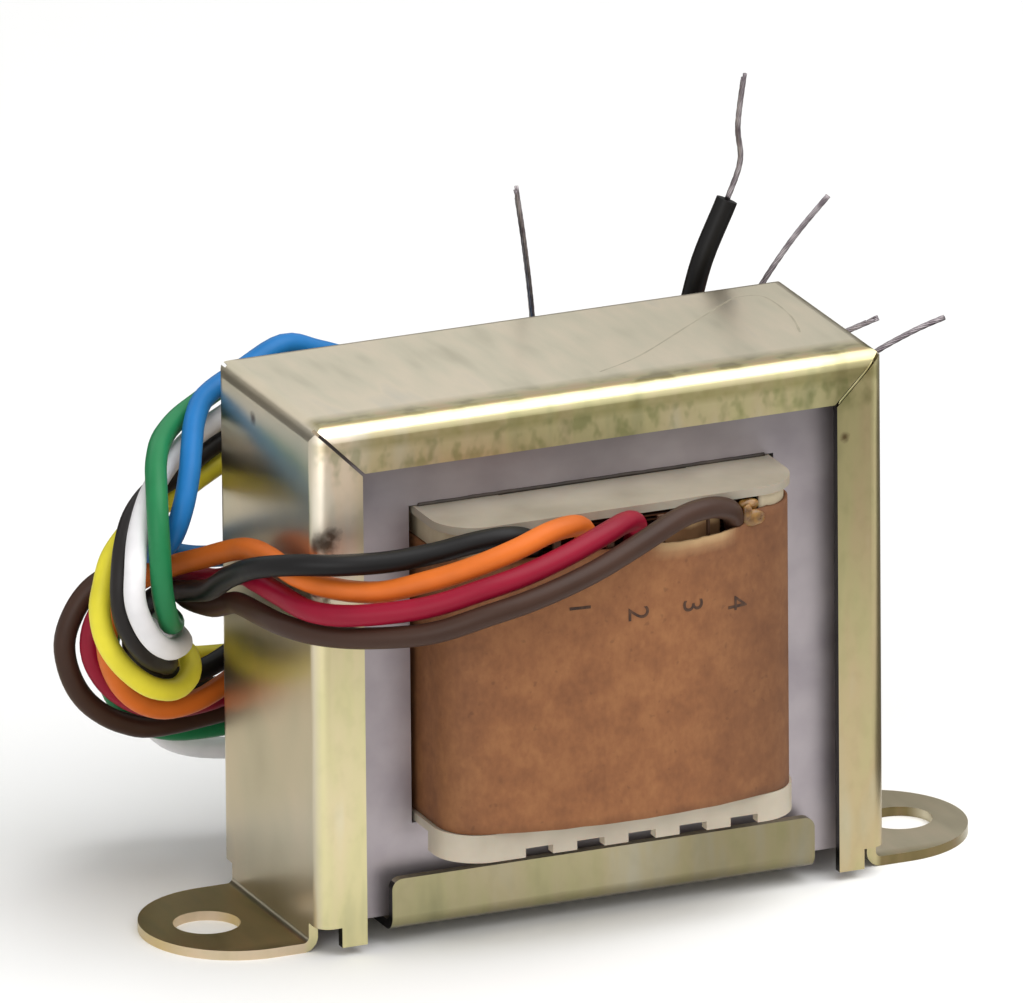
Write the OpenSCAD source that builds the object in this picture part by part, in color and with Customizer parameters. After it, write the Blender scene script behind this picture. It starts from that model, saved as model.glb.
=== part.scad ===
// Small audio line transformer: laminated core in a folded channel frame with ears,
// a paper-wrapped coil on a moulded former, and nine coloured leads

/* [Core] */
// Width of each outer limb
limb_w = 8; // [6:0.5:12]
// Width of the centre limb
centre_w = 16; // [12:0.5:24]
// Width of each window
window_w = 8; // [7:0.5:12]
// Height of each window
window_h = 27; // [24:0.5:40]
// Height of the yoke across the top
yoke_h = 7.4; // [6:0.2:12]
// Height of the closing bar at the bottom
bar_h = 7.6; // [6:0.2:12]
// Thickness of the lamination stack
stack = 16.5; // [14:0.5:20]
// How far each end of the closing bar stops short of the limbs
bar_short = 0.2; // [0:0.1:0.6]

/* [Frame] */
// Thickness of the folded sheet
sheet = 0.8; // [0.6:0.1:1.2]
// Outer radius of the folds
bend_r = 1.3; // [1.3:0.1:1.8]
// Width of the flanges that turn in over the core
flange_w = 4.2; // [3:0.1:6]
// Gap between the core and each side panel
side_gap = 0.2; // [0.1:0.1:0.6]
// Gap between the core face and each flange
face_gap = 1.2; // [0.4:0.1:1.8]
// Width of the open seam at each mitre
seam = 0.2; // [0.2:0.05:0.8]
// Width of the relief notch at the foot of each fold
relief_w = 2; // [1.6:0.1:3]
// Height of the relief notch above the resting surface
relief_h = 2.5; // [2.2:0.1:3.4]
// Height of the flange feet above the resting surface
foot_lift = 0.8; // [0:0.1:1.2]

/* [Ears] */
// Width of each ear
ear_w = 16; // [12:0.2:17]
// Reach of each ear beyond the side panel
ear_l = 11; // [9.6:0.1:14]
// Diameter of the fixing hole
hole_d = 5.5; // [3:0.1:6]
// Distance of the fixing hole from the side panel
hole_out = 5.6; // [4.6:0.1:6]
// Inner radius of the fold into the ear
ear_bend_r = 0.5; // [0.3:0.1:0.8]

/* [Keeper] */
// Gap between each end of the keeper and the side flange
keeper_gap = 2.2; // [0.4:0.1:4]
// Height of the keeper channel
keeper_h = 4.5; // [3:0.1:6]
// Height of the keeper above the resting surface
keeper_lift = 1.45; // [1.2:0.05:2]
// Radius of the keeper's upper corners
keeper_corner = 0.9; // [0.5:0.1:2]

/* [Former] */
// Wall of the former's tube
former_wall = 0.8; // [0.6:0.1:1.2]
// Gap between the tube and the centre limb
tube_gap = 0.25; // [0.1:0.05:0.4]
// Thickness of the former's flanges
former_flange = 0.7; // [0.5:0.1:1]
// Reach of the flanges beyond the outer winding at the front and the back
former_lip = 2.3; // [1.6:0.1:3]
// Gap between the flange ends and the window sides
former_gap = 0.4; // [0.2:0.1:0.6]
// Gap between the upper flange and the window top
former_top_gap = 0.1; // [0.05:0.05:0.3]
// Corner radius of the flanges
former_corner = 3.8; // [1.5:0.1:4]
// Height of the skirt below the lower flange
skirt_h = 1.65; // [1:0.05:2.4]
// Thickness of the skirt
skirt_t = 1; // [0.8:0.1:1.4]
// Gap between the skirt and the frame's face plane
skirt_gap = 0.4; // [0.3:0.1:1]
// Width of the notches in the skirt
notch_w = 2.4; // [1.6:0.1:3]
// Height of the notches in the skirt
notch_h = 0.75; // [0.4:0.05:0.9]
// Width of the lead slots in the upper flange and the wrap
slot_w = 3.9; // [3.6:0.1:4]

/* [Coil] */
// Build of the windings over the tube at the front and the back
coil_build = 3.9; // [3:0.1:6]
// Share of the build taken by the inner winding
primary_share = 0.45; // [0.2:0.05:0.7]
// Thickness of the layer between the windings
interlayer = 0.3; // [0.1:0.1:0.6]
// Slack between one layer and the next
layer_gap = 0.05; // [0.02:0.01:0.08]
// Corner radius of the outer winding
winding_corner = 3; // [2:0.1:4]
// Gap between the outer winding and its wrap at the sides
wrap_gap = 0.1; // [0.05:0.05:0.2]
// Thickness of the cream insulation wrap
insulation = 0.35; // [0.2:0.05:0.5]
// Thickness of the cover paper
paper = 0.3; // [0.2:0.05:0.4]
// Rise of the cover paper's crown over the outer winding
wrap_bow = 4; // [3.8:0.1:5]
// Gap between the cover paper and the flange ends at the sides
wrap_in = 0.3; // [0.1:0.05:0.6]
// Corner radius of the cover paper
wrap_corner = 3.5; // [3:0.1:4]
// Bare band above the cover paper
paper_short = 2.2; // [1:0.1:4]

/* [Leads] */
// Outer diameter of the insulated leads
lead_d = 1.9; // [1.2:0.1:1.9]
// Diameter of the tinned ends
tinned_d = 0.5; // [0.5:0.1:1.1]
// Spacing of the leads and of the skirt notches
lead_pitch = 4.5; // [4.2:0.1:4.5]
// Position of the first lead across the coil
lead_first = -7.9; // [-8.2:0.1:-7]
// Length of the solder joints under the wrap
joint_l = 4; // [2:0.5:8]
// Diameter of the solder joints
joint_d = 1.8; // [1:0.1:1.8]
// Height of the lead starts above the resting surface
joint_top = 28.8; // [25:0.1:30]
// Clearance between the outer winding and the leads on it
lead_gap = 0.05; // [0.02:0.01:0.1]
// Room between the outermost lead and the wrap over it
lead_room = 0.2; // [0.15:0.05:0.4]

/* [Hidden] */
$fn = 64;

// Overall sizes that follow from the core
core_w = 2 * limb_w + 2 * window_w + centre_w;
core_h = yoke_h + window_h + bar_h;
frame_w = core_w + 2 * side_gap + 2 * sheet;
frame_d = stack + 2 * face_gap + 2 * sheet;
core_z = keeper_lift + sheet;
frame_h = core_z + core_h + sheet;
window_z = core_z + bar_h;
keeper_l = frame_w - 2 * flange_w - 2 * keeper_gap;

// The former between the bar and the yoke
former_h = window_h - former_top_gap;
former_w = centre_w + 2 * window_w - 2 * former_gap;
tube_w = centre_w + 2 * tube_gap + 2 * former_wall;
tube_d = stack + 2 * tube_gap + 2 * former_wall;
secondary_d = tube_d + 2 * coil_build;
former_d = secondary_d + 2 * former_lip;
wind_z = window_z + former_flange;
wind_h = former_h - 2 * former_flange;
tube_corner = 0.6;

// Places of the leads on the coil
lead_places = 5;
last_place = lead_places - 1;
lead_y = secondary_d / 2 + lead_gap + lead_d / 2;
function lead_x(i) = lead_first + i * lead_pitch;
row_end = max(abs(lead_x(0)), abs(lead_x(last_place)));
slot_shift = -0.85;
slot_drop = 2.7;
tear_before = 3.2;
tear_after = 1.5;
tear_drop = 3.4;

// The bowed outline of the wrap: a wide arc over the crown and the outermost lead, with corner arcs
wrap_half_w = former_w / 2 - wrap_in;
wrap_crown = secondary_d / 2 + wrap_bow;
bow_drop = wrap_crown - (lead_y + lead_d / 2 + lead_room + insulation + layer_gap + paper);
bow_r = (row_end ^ 2 + bow_drop ^ 2) / (2 * bow_drop);
crease = 0.05;
corner_x = wrap_half_w - wrap_corner;
corner_y = wrap_crown + crease - bow_r + sqrt((bow_r - wrap_corner) ^ 2 - corner_x ^ 2);
bow_half_w = corner_x * bow_r / (bow_r - wrap_corner);

// The windings between the tube and the wrap
secondary_w = 2 * (wrap_half_w - paper - layer_gap - insulation - wrap_gap);
primary_w = tube_w + primary_share * (secondary_w - tube_w);
primary_d = tube_d + primary_share * (secondary_d - tube_d);
primary_corner = 1.8;

// Small overlap that keeps cuts clean
eps = 0.01;

// Lead routes: each starts on the coil and ends in its bare tip
function start(i, side) = [
  [lead_x(i), side * lead_y, joint_top],
  [lead_x(i), side * lead_y, joint_top + 1.5],
  [lead_x(i), side * lead_y, joint_top + 3]
];
black_route = concat(start(0, -1), [
  [-8, -14.5, 33.1], [-8.4, -15.5, 34.6], [-9.4, -16.6, 35.7], [-11.3, -17.2, 36.3],
  [-13.8, -16.8, 36.1], [-17, -16, 35.4], [-20.6, -15.1, 34.9], [-24.4, -13.7, 34.7],
  [-27.4, -11.3, 34.4], [-29.2, -7.5, 33.2], [-29.5, -3, 31.1], [-29.6, 1, 28.8], [-29.9, 4.6, 27.6],
  [-30.6, 8, 26.5], [-31.6, 10.2, 24.6], [-32, 11.6, 21.6], [-30.7, 12.7, 18.5], [-28.2, 13.5, 17],
  [-25, 14.2, 17.1], [-22, 15.4, 17.7], [-18, 17.6, 18.9], [-12, 18.7, 19.4], [-4, 18.7, 19.4],
  [4, 18.7, 19.4], [9, 18.7, 20.4], [12.4, 18.5, 23.4], [15, 18.1, 28.3], [17, 17.4, 33.8],
  [19, 16.6, 39.8], [20.4, 16.1, 45.3], [22.6, 16, 50.2], [23.8, 16, 53.4], [23.6, 16, 56.4],
  [24.2, 16, 60.8]
]);
black_bare = 3;
orange_route = concat(start(1, -1), [
  [-3.5, -14.5, 33.1], [-3.7, -15.5, 34.6], [-4.4, -16.8, 35.9], [-5.8, -17.9, 36.7],
  [-8.2, -18.7, 36.7], [-11.4, -19.3, 35.9], [-14.9, -18.9, 34.8], [-18.3, -17.4, 33.6],
  [-21.6, -15.2, 32.5], [-24.6, -12.8, 32.5], [-26.5, -9.8, 32.9], [-27, -5.8, 33.2], [-27.1, -2, 32.8],
  [-27.5, 1.2, 31.8], [-28.8, 4.4, 30.3], [-30.6, 7.2, 28.9], [-32.8, 9.2, 27.2], [-34.2, 10.8, 24.4],
  [-34, 12, 20.4], [-32.2, 12.8, 16.8], [-29.2, 13.4, 14.7], [-25.6, 14.2, 14.5], [-22, 15.6, 15.3],
  [-18, 17.6, 16.5], [-12, 18.7, 16.9], [-4, 18.7, 16.9], [4, 18.7, 16.9], [11, 18.7, 17.1],
  [16, 18.7, 18.8], [19.4, 18.6, 23.3], [21.8, 18.2, 29.8], [23.6, 17.4, 36.3], [25, 16.4, 41.1],
  [28.2, 16, 45.8], [31.6, 16, 49.3]
]);
orange_bare = 2;
red_route = concat(start(2, -1), [
  [1, -14.5, 33.1], [0.8, -15.5, 34.6], [0.1, -16.8, 35.8], [-1.3, -18.1, 36.4], [-3.8, -19.4, 36.1],
  [-7.4, -20.4, 35.2], [-11.2, -20.8, 34.2], [-14.8, -20.4, 33.3], [-19, -18.7, 31.9],
  [-23.8, -15.5, 30.9], [-26.4, -12.4, 30.7], [-27.3, -8, 30.9], [-27.4, -4, 30.7], [-27, 0.6, 29.9],
  [-27.5, 4.4, 28.3], [-28.6, 8, 27.7], [-29.9, 11, 27.3], [-31.6, 13.8, 25.4], [-33.6, 15, 22.8],
  [-34.2, 15.2, 19.8], [-32.8, 15.4, 16.8], [-30.2, 15.8, 14.6], [-27, 16, 13.6], [-23, 16.8, 13.5],
  [-18, 18.2, 14.1], [-12, 18.7, 14.4], [-4, 18.7, 14.4], [4, 18.7, 14.4], [11, 18.7, 14.4],
  [18, 18.7, 15], [24, 18.5, 18.8], [28.6, 17.8, 25.3], [32.2, 16.8, 31.8], [34.9, 16.2, 34.7],
  [38.8, 16, 36.5], [41.9, 16, 37.4]
]);
red_bare = 2;
brown_route = concat(start(last_place, -1), [
  [9.9, -14.6, 33.2], [9.3, -15.5, 34.6], [8.2, -16.8, 35.8], [6.2, -17.8, 36.5], [3.4, -18.7, 36.4],
  [-0.6, -20.1, 35.3], [-5.6, -21.6, 33.9], [-10.6, -22.1, 32.6], [-14.8, -21.5, 31.5],
  [-18.9, -19.6, 30], [-22.8, -16.3, 29.1], [-25.6, -13, 28.7], [-27.4, -9.6, 28.7], [-28, -6, 28.6],
  [-27.9, -2.4, 28.2], [-27.5, 1, 27.4], [-27.8, 4.6, 26], [-28.4, 8.2, 25.6], [-28.4, 11.5, 25.8],
  [-29.2, 14.2, 26.1], [-31, 16, 25.8], [-33.2, 16.6, 24.8], [-34.9, 16.8, 22.8], [-35.8, 16.9, 20],
  [-35.1, 17, 16.8], [-33.3, 17.2, 14.2], [-30.4, 17.4, 12.3], [-27, 17.5, 11.6], [-18, 18.6, 11.9],
  [-9, 18.8, 11.9], [0.2, 19.2, 12.2], [4.4, 20.9, 13.8], [6.8, 21.3, 17.3], [7.7, 21.4, 23.3],
  [7.7, 21.3, 31.8], [7.2, 20.4, 40.1], [6.4, 20, 46.8], [5.6, 20, 52.5]
]);
brown_bare = 2;
blue_route = concat(start(last_place, 1), [
  [10.1, 14.4, 33.8], [9.7, 15.3, 35.6], [8.3, 16.6, 37.1], [5, 17.8, 39], [0, 18, 40.1],
  [-5, 17.7, 40.4], [-10, 16.9, 40.9], [-13.8, 15.4, 42.5], [-17.4, 14.2, 43.9], [-21.6, 13.1, 42.6],
  [-25.4, 11.4, 41.5], [-27.3, 9.2, 40.4], [-28.6, 6.8, 39], [-29.7, 4.8, 37.2], [-30.8, 3.6, 34.9],
  [-31.6, 4, 32.5], [-32.1, 6, 30.8], [-32.3, 8.6, 30.2], [-31.8, 11.2, 30], [-30.6, 13.6, 29.1],
  [-28.8, 15.6, 27.9], [-26.4, 17.2, 26.5], [-23.6, 18.2, 25.4], [-19.6, 18.8, 24.8], [-13, 18.9, 24.2],
  [-6, 18.9, 24.2], [2, 18.9, 24.2], [8.6, 19.2, 24.2], [12.6, 20.8, 24.6], [17, 21.4, 25.8],
  [22, 21.2, 28.4], [27, 20, 31.8], [31, 18, 35.6], [32.4, 17.2, 36.6], [36, 16, 38.2]
]);
blue_bare = 1;
green_route = concat(start(3, 1), [
  [5.5, 14.4, 33.8], [5.1, 15.4, 35.5], [3.7, 17, 36.8], [0.6, 19.4, 37.9], [-4, 21.2, 38.7],
  [-9, 21.6, 39.4], [-14, 20.4, 40], [-18.6, 18.1, 40.5], [-22.4, 15.3, 40.7], [-25.3, 13.3, 40.3],
  [-28, 11.4, 39.8], [-30.3, 9, 39.2], [-32, 6.1, 38.4], [-33.1, 3.4, 37], [-33.7, 1.7, 34.8],
  [-33.8, 1.1, 32], [-33.6, 1.3, 29.4], [-33, 2, 27.2], [-32, 3.6, 25.5], [-30.7, 6, 24.6],
  [-29.8, 9, 24], [-29.7, 12, 23.9], [-30.4, 15.2, 23.1], [-31, 17.8, 21.2], [-31, 19.4, 17.8],
  [-30.4, 20.2, 14.4], [-28.4, 20.2, 11.6], [-25, 20.1, 10.1], [-19, 20.6, 9.7], [-12, 20.9, 9.7],
  [-4, 20.9, 9.7], [4, 20.9, 9.7], [12, 20.9, 9.7], [20, 20.9, 9.8], [25, 20.9, 10], [30, 20.9, 10.4]
]);
green_bare = 2;
white_route = concat(start(2, 1), [
  [1, 14.4, 33.8], [0.6, 15.4, 35.5], [-0.8, 16.9, 36.8], [-4.2, 18.5, 38], [-8, 19, 39.2],
  [-12, 18.4, 40], [-16, 17.2, 40], [-20, 15.2, 39.4], [-23.2, 13.2, 38.9], [-26, 11.9, 38.2],
  [-28.6, 9.9, 37.5], [-31.2, 7.3, 36.7], [-33.3, 5, 35.5], [-35, 2.9, 33.4], [-35.8, 1.6, 31],
  [-36, 1.2, 28.8], [-35.4, 1.3, 26.8], [-34.1, 1.9, 24.8], [-32, 3.7, 23.2], [-29.6, 7, 22.4],
  [-28.7, 10.6, 22], [-28.5, 14.6, 21.9], [-28.2, 18.2, 20.6], [-27.9, 20.8, 18], [-27.4, 22.2, 14.4],
  [-26.4, 22.8, 10.8], [-24, 22.6, 8.2], [-19.6, 21.6, 7.3], [-12, 21, 7.2], [-4, 21, 7.2],
  [4, 21, 7.2], [10, 21, 7.2], [15, 21, 7.3], [20, 21, 7.6]
]);
white_bare = 2;
rear_black_route = concat(start(1, 1), [
  [-3.5, 14.4, 33.8], [-3.9, 15.3, 35.5], [-5.3, 16.7, 36.8], [-8.2, 17.6, 37.6], [-12, 17.4, 38],
  [-16, 16.6, 37.9], [-20, 15.2, 37.2], [-22.8, 14, 36.8], [-25.6, 12.4, 36.2], [-28.8, 10.3, 35.4],
  [-31.7, 8.5, 34.9], [-33.8, 6.8, 33.8], [-35.3, 5, 32.1], [-36.1, 3.8, 30], [-36.3, 3.4, 28],
  [-35.9, 3.5, 26], [-34.7, 4.1, 23.9], [-33, 5.3, 22.1], [-31.2, 7, 20.9], [-30, 9.2, 20],
  [-29.1, 11.8, 19.9], [-29.1, 14.6, 19.5], [-29.2, 17, 17.8], [-28.4, 18.8, 15.4], [-25.8, 19.9, 13.5],
  [-20, 20.7, 13], [-12, 20.9, 13], [-6, 21, 13.6], [-2.4, 21.3, 16.2], [-0.6, 21.4, 20.8],
  [0, 21.2, 26.8], [0.2, 21, 31.8], [0.2, 21, 36.8]
]);
rear_black_bare = 2;
yellow_route = concat(start(0, 1), [
  [-8.1, 14.5, 33.2], [-8.6, 15.3, 34.7], [-10, 16.5, 35.7], [-12.6, 17.3, 35.9], [-16.4, 16.5, 35.4],
  [-20, 15.4, 35], [-22.8, 14.2, 34.7], [-25.6, 12.6, 34.2], [-28.8, 10.8, 33.4], [-31.8, 9.2, 32.9],
  [-34, 8, 31.8], [-35.8, 6.9, 30.4], [-36.8, 6, 28.6], [-37.3, 5.6, 26.6], [-36.8, 5.5, 24],
  [-35.1, 5.9, 21.4], [-32.6, 6.6, 19.2], [-29.9, 7.8, 18.2], [-27.8, 9.7, 18.6], [-26.9, 12.4, 19.4],
  [-27.1, 15.2, 19.3], [-27.2, 17.5, 18.4], [-26.4, 19.5, 17.2], [-24.4, 20.6, 16.2],
  [-21.6, 20.9, 15.7], [-16.4, 20.9, 15.6], [-12, 21, 16.6], [-9, 21.2, 19.4], [-7.5, 21.2, 23.2],
  [-7, 21, 27.3], [-6.8, 20.9, 31.8], [-6.8, 20.8, 36.3]
]);
yellow_bare = 2;

// Rectangle with round corners, centred
module round_rect(w, d, r) {
  square([w, d - 2 * r], center = true);
  square([w - 2 * r, d], center = true);
  for (x = [-1, 1], y = [-1, 1])
    translate([x * (w / 2 - r), y * (d / 2 - r)]) circle(r);
}

// Solid outline of a folded channel: back edge on y = 0 with round corners, open side at y = h
module channel_outline(w, h, r) {
  translate([-w / 2, r]) square([w, h - r]);
  translate([-w / 2 + r, 0]) square([w - 2 * r, h]);
  for (x = [-1, 1]) translate([x * (w / 2 - r), r]) circle(r);
}

// Section of a folded channel of the frame's sheet
module channel_section(w, h) {
  difference() {
    channel_outline(w, h, bend_r);
    translate([0, sheet]) channel_outline(w - 2 * sheet, h, bend_r - sheet);
  }
}

// Extrusion along Y of an outline drawn in the X Z plane, centred on Y = 0
module along_y(d) {
  rotate([90, 0, 0]) linear_extrude(d, center = true) children();
}

// Outline of the frame seen from the front: round upper corners, open below
module frame_outline() {
  translate([0, frame_h]) mirror([0, 1]) channel_outline(frame_w, frame_h, bend_r);
}

// Top channel of the frame, cut at the mitres
module top_leg() {
  reach = flange_w + 1;
  intersection() {
    translate([-frame_w / 2, 0, frame_h]) rotate([90, 0, 90])
      linear_extrude(frame_w) mirror([0, 1]) channel_section(frame_d, flange_w);
    along_y(frame_d + 1) polygon([
      [-frame_w / 2 + seam, frame_h], [frame_w / 2 - seam, frame_h],
      [frame_w / 2 - seam - reach, frame_h - reach], [-frame_w / 2 + seam + reach, frame_h - reach]
    ]);
  }
}

// Left channel of the frame, cut at the mitre
module side_leg() {
  reach = flange_w + 1;
  intersection() {
    translate([-frame_w / 2, 0, 0]) rotate([0, 0, -90])
      linear_extrude(frame_h) channel_section(frame_d, flange_w);
    along_y(frame_d + 1) polygon([
      [-frame_w / 2, foot_lift], [-frame_w / 2, frame_h - seam],
      [-frame_w / 2 + reach, frame_h - seam - reach], [-frame_w / 2 + reach, foot_lift]
    ]);
  }
}

// Top and sides without flanges, one strip folded round the core
module frame_web() {
  along_y(frame_d - 2 * bend_r) difference() {
    frame_outline();
    translate([0, frame_h - sheet]) mirror([0, 1])
      channel_outline(frame_w - 2 * sheet, frame_h, bend_r - sheet);
    translate([-frame_w, -1]) square([2 * frame_w, relief_h + 1]);
  }
}

// Left ear with its fold, seen from the front
module ear_profile() {
  fold_x = -frame_w / 2 - ear_bend_r;
  fold_z = sheet + ear_bend_r;
  translate([-frame_w / 2 - ear_l, 0]) square([ear_l - ear_bend_r, sheet]);
  translate([-frame_w / 2, fold_z]) square([sheet, relief_h + eps - fold_z]);
  intersection() {
    translate([fold_x, fold_z]) difference() {
      circle(ear_bend_r + sheet);
      circle(ear_bend_r);
    }
    translate([fold_x, 0]) square([ear_bend_r + sheet, fold_z]);
  }
}

// Left ear with its round end and fixing hole
module ear() {
  round_x = -frame_w / 2 - ear_l + ear_w / 2;
  difference() {
    intersection() {
      along_y(ear_w) ear_profile();
      linear_extrude(relief_h + 1) {
        translate([round_x, 0]) circle(ear_w / 2);
        translate([round_x, -ear_w / 2]) square([ear_w, ear_w]);
      }
    }
    translate([-frame_w / 2 - hole_out, 0, -1]) cylinder(d = hole_d, h = sheet + 2);
  }
}

module channel_frame() {
  color("#c3b98c") {
    intersection() {
      along_y(frame_d + 1) frame_outline();
      union() {
        top_leg();
        for (m = [0, 1]) mirror([m, 0, 0]) difference() {
          side_leg();
          translate([-frame_w / 2 - 1, -frame_d, -1]) cube([relief_w + 1, 2 * frame_d, relief_h + 1]);
        }
        frame_web();
      }
    }
    for (m = [0, 1]) mirror([m, 0, 0]) ear();
  }
}

module bottom_keeper() {
  color("#bcb38a") translate([0, 0, keeper_lift]) intersection() {
    translate([-keeper_l / 2, 0, 0]) rotate([90, 0, 90])
      linear_extrude(keeper_l) channel_section(frame_d, keeper_h);
    along_y(frame_d + 1) translate([0, keeper_h]) mirror([0, 1])
      channel_outline(keeper_l, keeper_h + 1, keeper_corner);
  }
}

module e_laminations() {
  top = core_z + core_h;
  corner = bend_r - sheet;
  color("#8c878c") along_y(stack) difference() {
    polygon([
      [-core_w / 2, window_z], [core_w / 2, window_z],
      [core_w / 2, top - corner], [core_w / 2 - corner, top],
      [-core_w / 2 + corner, top], [-core_w / 2, top - corner]
    ]);
    for (x = [-1, 1]) translate([x * (centre_w + window_w) / 2 - window_w / 2, window_z - 1])
      square([window_w, window_h + 1]);
  }
}

module i_laminations() {
  color("#858086") translate([-core_w / 2 + bar_short, -stack / 2, core_z])
    cube([core_w - 2 * bar_short, stack, bar_h]);
}

// Cuts for the leads along the front or back edge of the upper flange or the wrap
module lead_slots(z, h, faces) {
  for (side = faces, i = [0:last_place])
    translate([lead_x(i) + slot_shift - slot_w / 2, side > 0 ? secondary_d / 2 - lead_gap : -frame_d, z])
      cube([slot_w, frame_d - secondary_d / 2 + lead_gap, h]);
}

// Skirt below the lower flange, clear of the frame, with notches in its lower edge
module skirt() {
  clear_y = frame_d / 2 + skirt_gap;
  translate([0, 0, window_z - skirt_h]) difference() {
    linear_extrude(skirt_h + eps) difference() {
      round_rect(former_w, former_d, former_corner);
      round_rect(former_w - 2 * skirt_t, former_d - 2 * skirt_t, former_corner - skirt_t);
      square([former_w + 2, 2 * clear_y], center = true);
    }
    for (i = [0:last_place]) translate([lead_x(i) - notch_w / 2, -former_d, -1])
      cube([notch_w, 2 * former_d, notch_h + 1]);
  }
}

module coil_former() {
  color("#d5cfc0") {
    difference() {
      translate([0, 0, window_z]) union() {
        linear_extrude(former_flange) round_rect(former_w, former_d, former_corner);
        translate([0, 0, former_h - former_flange])
          linear_extrude(former_flange) round_rect(former_w, former_d, former_corner);
        linear_extrude(former_h) round_rect(tube_w, tube_d, tube_corner);
      }
      translate([-tube_w / 2 + former_wall, -tube_d / 2 + former_wall, window_z - 1])
        cube([tube_w - 2 * former_wall, tube_d - 2 * former_wall, former_h + 2]);
      lead_slots(wind_z + wind_h - eps, former_flange + 1, [1]);
    }
    skirt();
  }
}

// One winding or layer between two rounded outlines
module ring(w, d, r, inner_w, inner_d, inner_r) {
  translate([0, 0, wind_z]) linear_extrude(wind_h) difference() {
    round_rect(w, d, r);
    round_rect(inner_w, inner_d, inner_r);
  }
}

module primary_winding() {
  g = layer_gap;
  color("#9a5a32")
    ring(primary_w, primary_d, primary_corner, tube_w + 2 * g, tube_d + 2 * g, tube_corner + g);
}

module interlayer_insulation() {
  g = layer_gap;
  t = layer_gap + interlayer;
  color("#e2d9a8") ring(primary_w + 2 * t, primary_d + 2 * t, primary_corner + t,
    primary_w + 2 * g, primary_d + 2 * g, primary_corner + g);
}

module secondary_winding() {
  t = 2 * layer_gap + interlayer;
  color("#b0693a") ring(secondary_w, secondary_d, winding_corner,
    primary_w + 2 * t, primary_d + 2 * t, primary_corner + t);
}

// Bowed outline of the wrap, drawn in by an inset
module wrap_outline(inset) {
  intersection() {
    union() {
      square([2 * (wrap_half_w - inset), 2 * corner_y], center = true);
      square([2 * bow_half_w, 2 * wrap_crown + 2], center = true);
      for (x = [-1, 1], y = [-1, 1]) translate([x * corner_x, y * corner_y]) circle(wrap_corner - inset);
    }
    translate([0, wrap_crown - bow_r]) circle(bow_r - inset, $fn = 256);
    translate([0, bow_r - wrap_crown]) circle(bow_r - inset, $fn = 256);
  }
}

// Wall of the wrap between two insets
module wrap_wall(inset, t, h) {
  translate([0, 0, wind_z]) linear_extrude(h) difference() {
    wrap_outline(inset);
    wrap_outline(inset + t);
  }
}

// Opening where the brown lead has torn through the wrap
module tear() {
  top = wind_z + wind_h;
  translate([lead_x(last_place) - tear_before, -2 * wrap_crown, top - tear_drop])
    cube([tear_before + tear_after, 2 * wrap_crown - secondary_d / 2, tear_drop + 1]);
}

module outer_insulation() {
  color("#d8cdb4") difference() {
    wrap_wall(paper + layer_gap, insulation, wind_h);
    lead_slots(wind_z + wind_h - slot_drop, slot_drop + 1, [-1, 1]);
    tear();
  }
}

module cover_paper() {
  color("#8c6242") difference() {
    wrap_wall(0, paper, wind_h - paper_short);
    tear();
  }
}

// Upright joints on the face of the outer winding, under the lead starts
module solder_joints(side, places) {
  for (i = places) translate([lead_x(i), side * lead_y, joint_top - joint_l])
    cylinder(d = joint_d, h = joint_l);
}

module front_solder_joints() { color("#a9adb3") solder_joints(-1, [0, 1, 2, last_place]); }
module rear_solder_joints() { color("#a9adb3") solder_joints(1, [0:last_place]); }

// Point on a smooth curve through b and c
function spline(a, b, c, d, t) = 0.5 * (2 * b + (c - a) * t + (2 * a - 5 * b + 4 * c - d) * t ^ 2
  + (3 * b - a - 3 * c + d) * t ^ 3);

// Route with one point added between each two of its own
function smooth(r) = [
  for (i = [0:2 * len(r) - 2]) let (k = floor(i / 2), n = len(r) - 1)
    i % 2 == 0 ? r[k] : spline(r[max(k - 1, 0)], r[k], r[k + 1], r[min(k + 2, n)], 0.5)
];

function unit(v) = v / norm(v);
function heading(p, i) = unit(p[min(i + 1, len(p) - 1)] - p[max(i - 1, 0)]);
function upright(v, t) = unit(v - (v * t) * t);

// Side directions carried along the route without twist
function sides(p) = [
  for (i = 0, s = upright(abs(heading(p, 0)[1]) < 0.9 ? [0, 1, 0] : [1, 0, 0], heading(p, 0)); i < len(p);
    i = i + 1, s = i < len(p) ? upright(s, heading(p, i)) : s) s
];

// Round bar swept along the points from one ring to another
module sweep(points, first, last, d) {
  n = 8;
  side = sides(points);
  rings = last - first + 1;
  verts = [
    for (i = [first:last]) let (t = heading(points, i), u = side[i], v = cross(t, u))
      for (k = [0:n - 1]) points[i] + d / 2 * (cos(360 * k / n) * u + sin(360 * k / n) * v)
  ];
  walls = [
    for (i = [0:rings - 2], k = [0:n - 1]) let (a = i * n + k, b = i * n + (k + 1) % n)
      each [[a, a + n, b], [b, a + n, b + n]]
  ];
  caps = [
    [for (k = [0:n - 1]) k],
    [for (k = [n - 1:-1:0]) (rings - 1) * n + k]
  ];
  polyhedron(verts, concat(walls, caps));
}

// Insulated length of a lead
module lead(route, bare) {
  sweep(smooth(route), 0, 2 * (len(route) - 1 - bare), lead_d);
}

// Bare tip of a lead
module lead_end(route, bare) {
  sweep(smooth(route), 2 * (len(route) - 1 - bare), 2 * (len(route) - 1), tinned_d);
}

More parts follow.
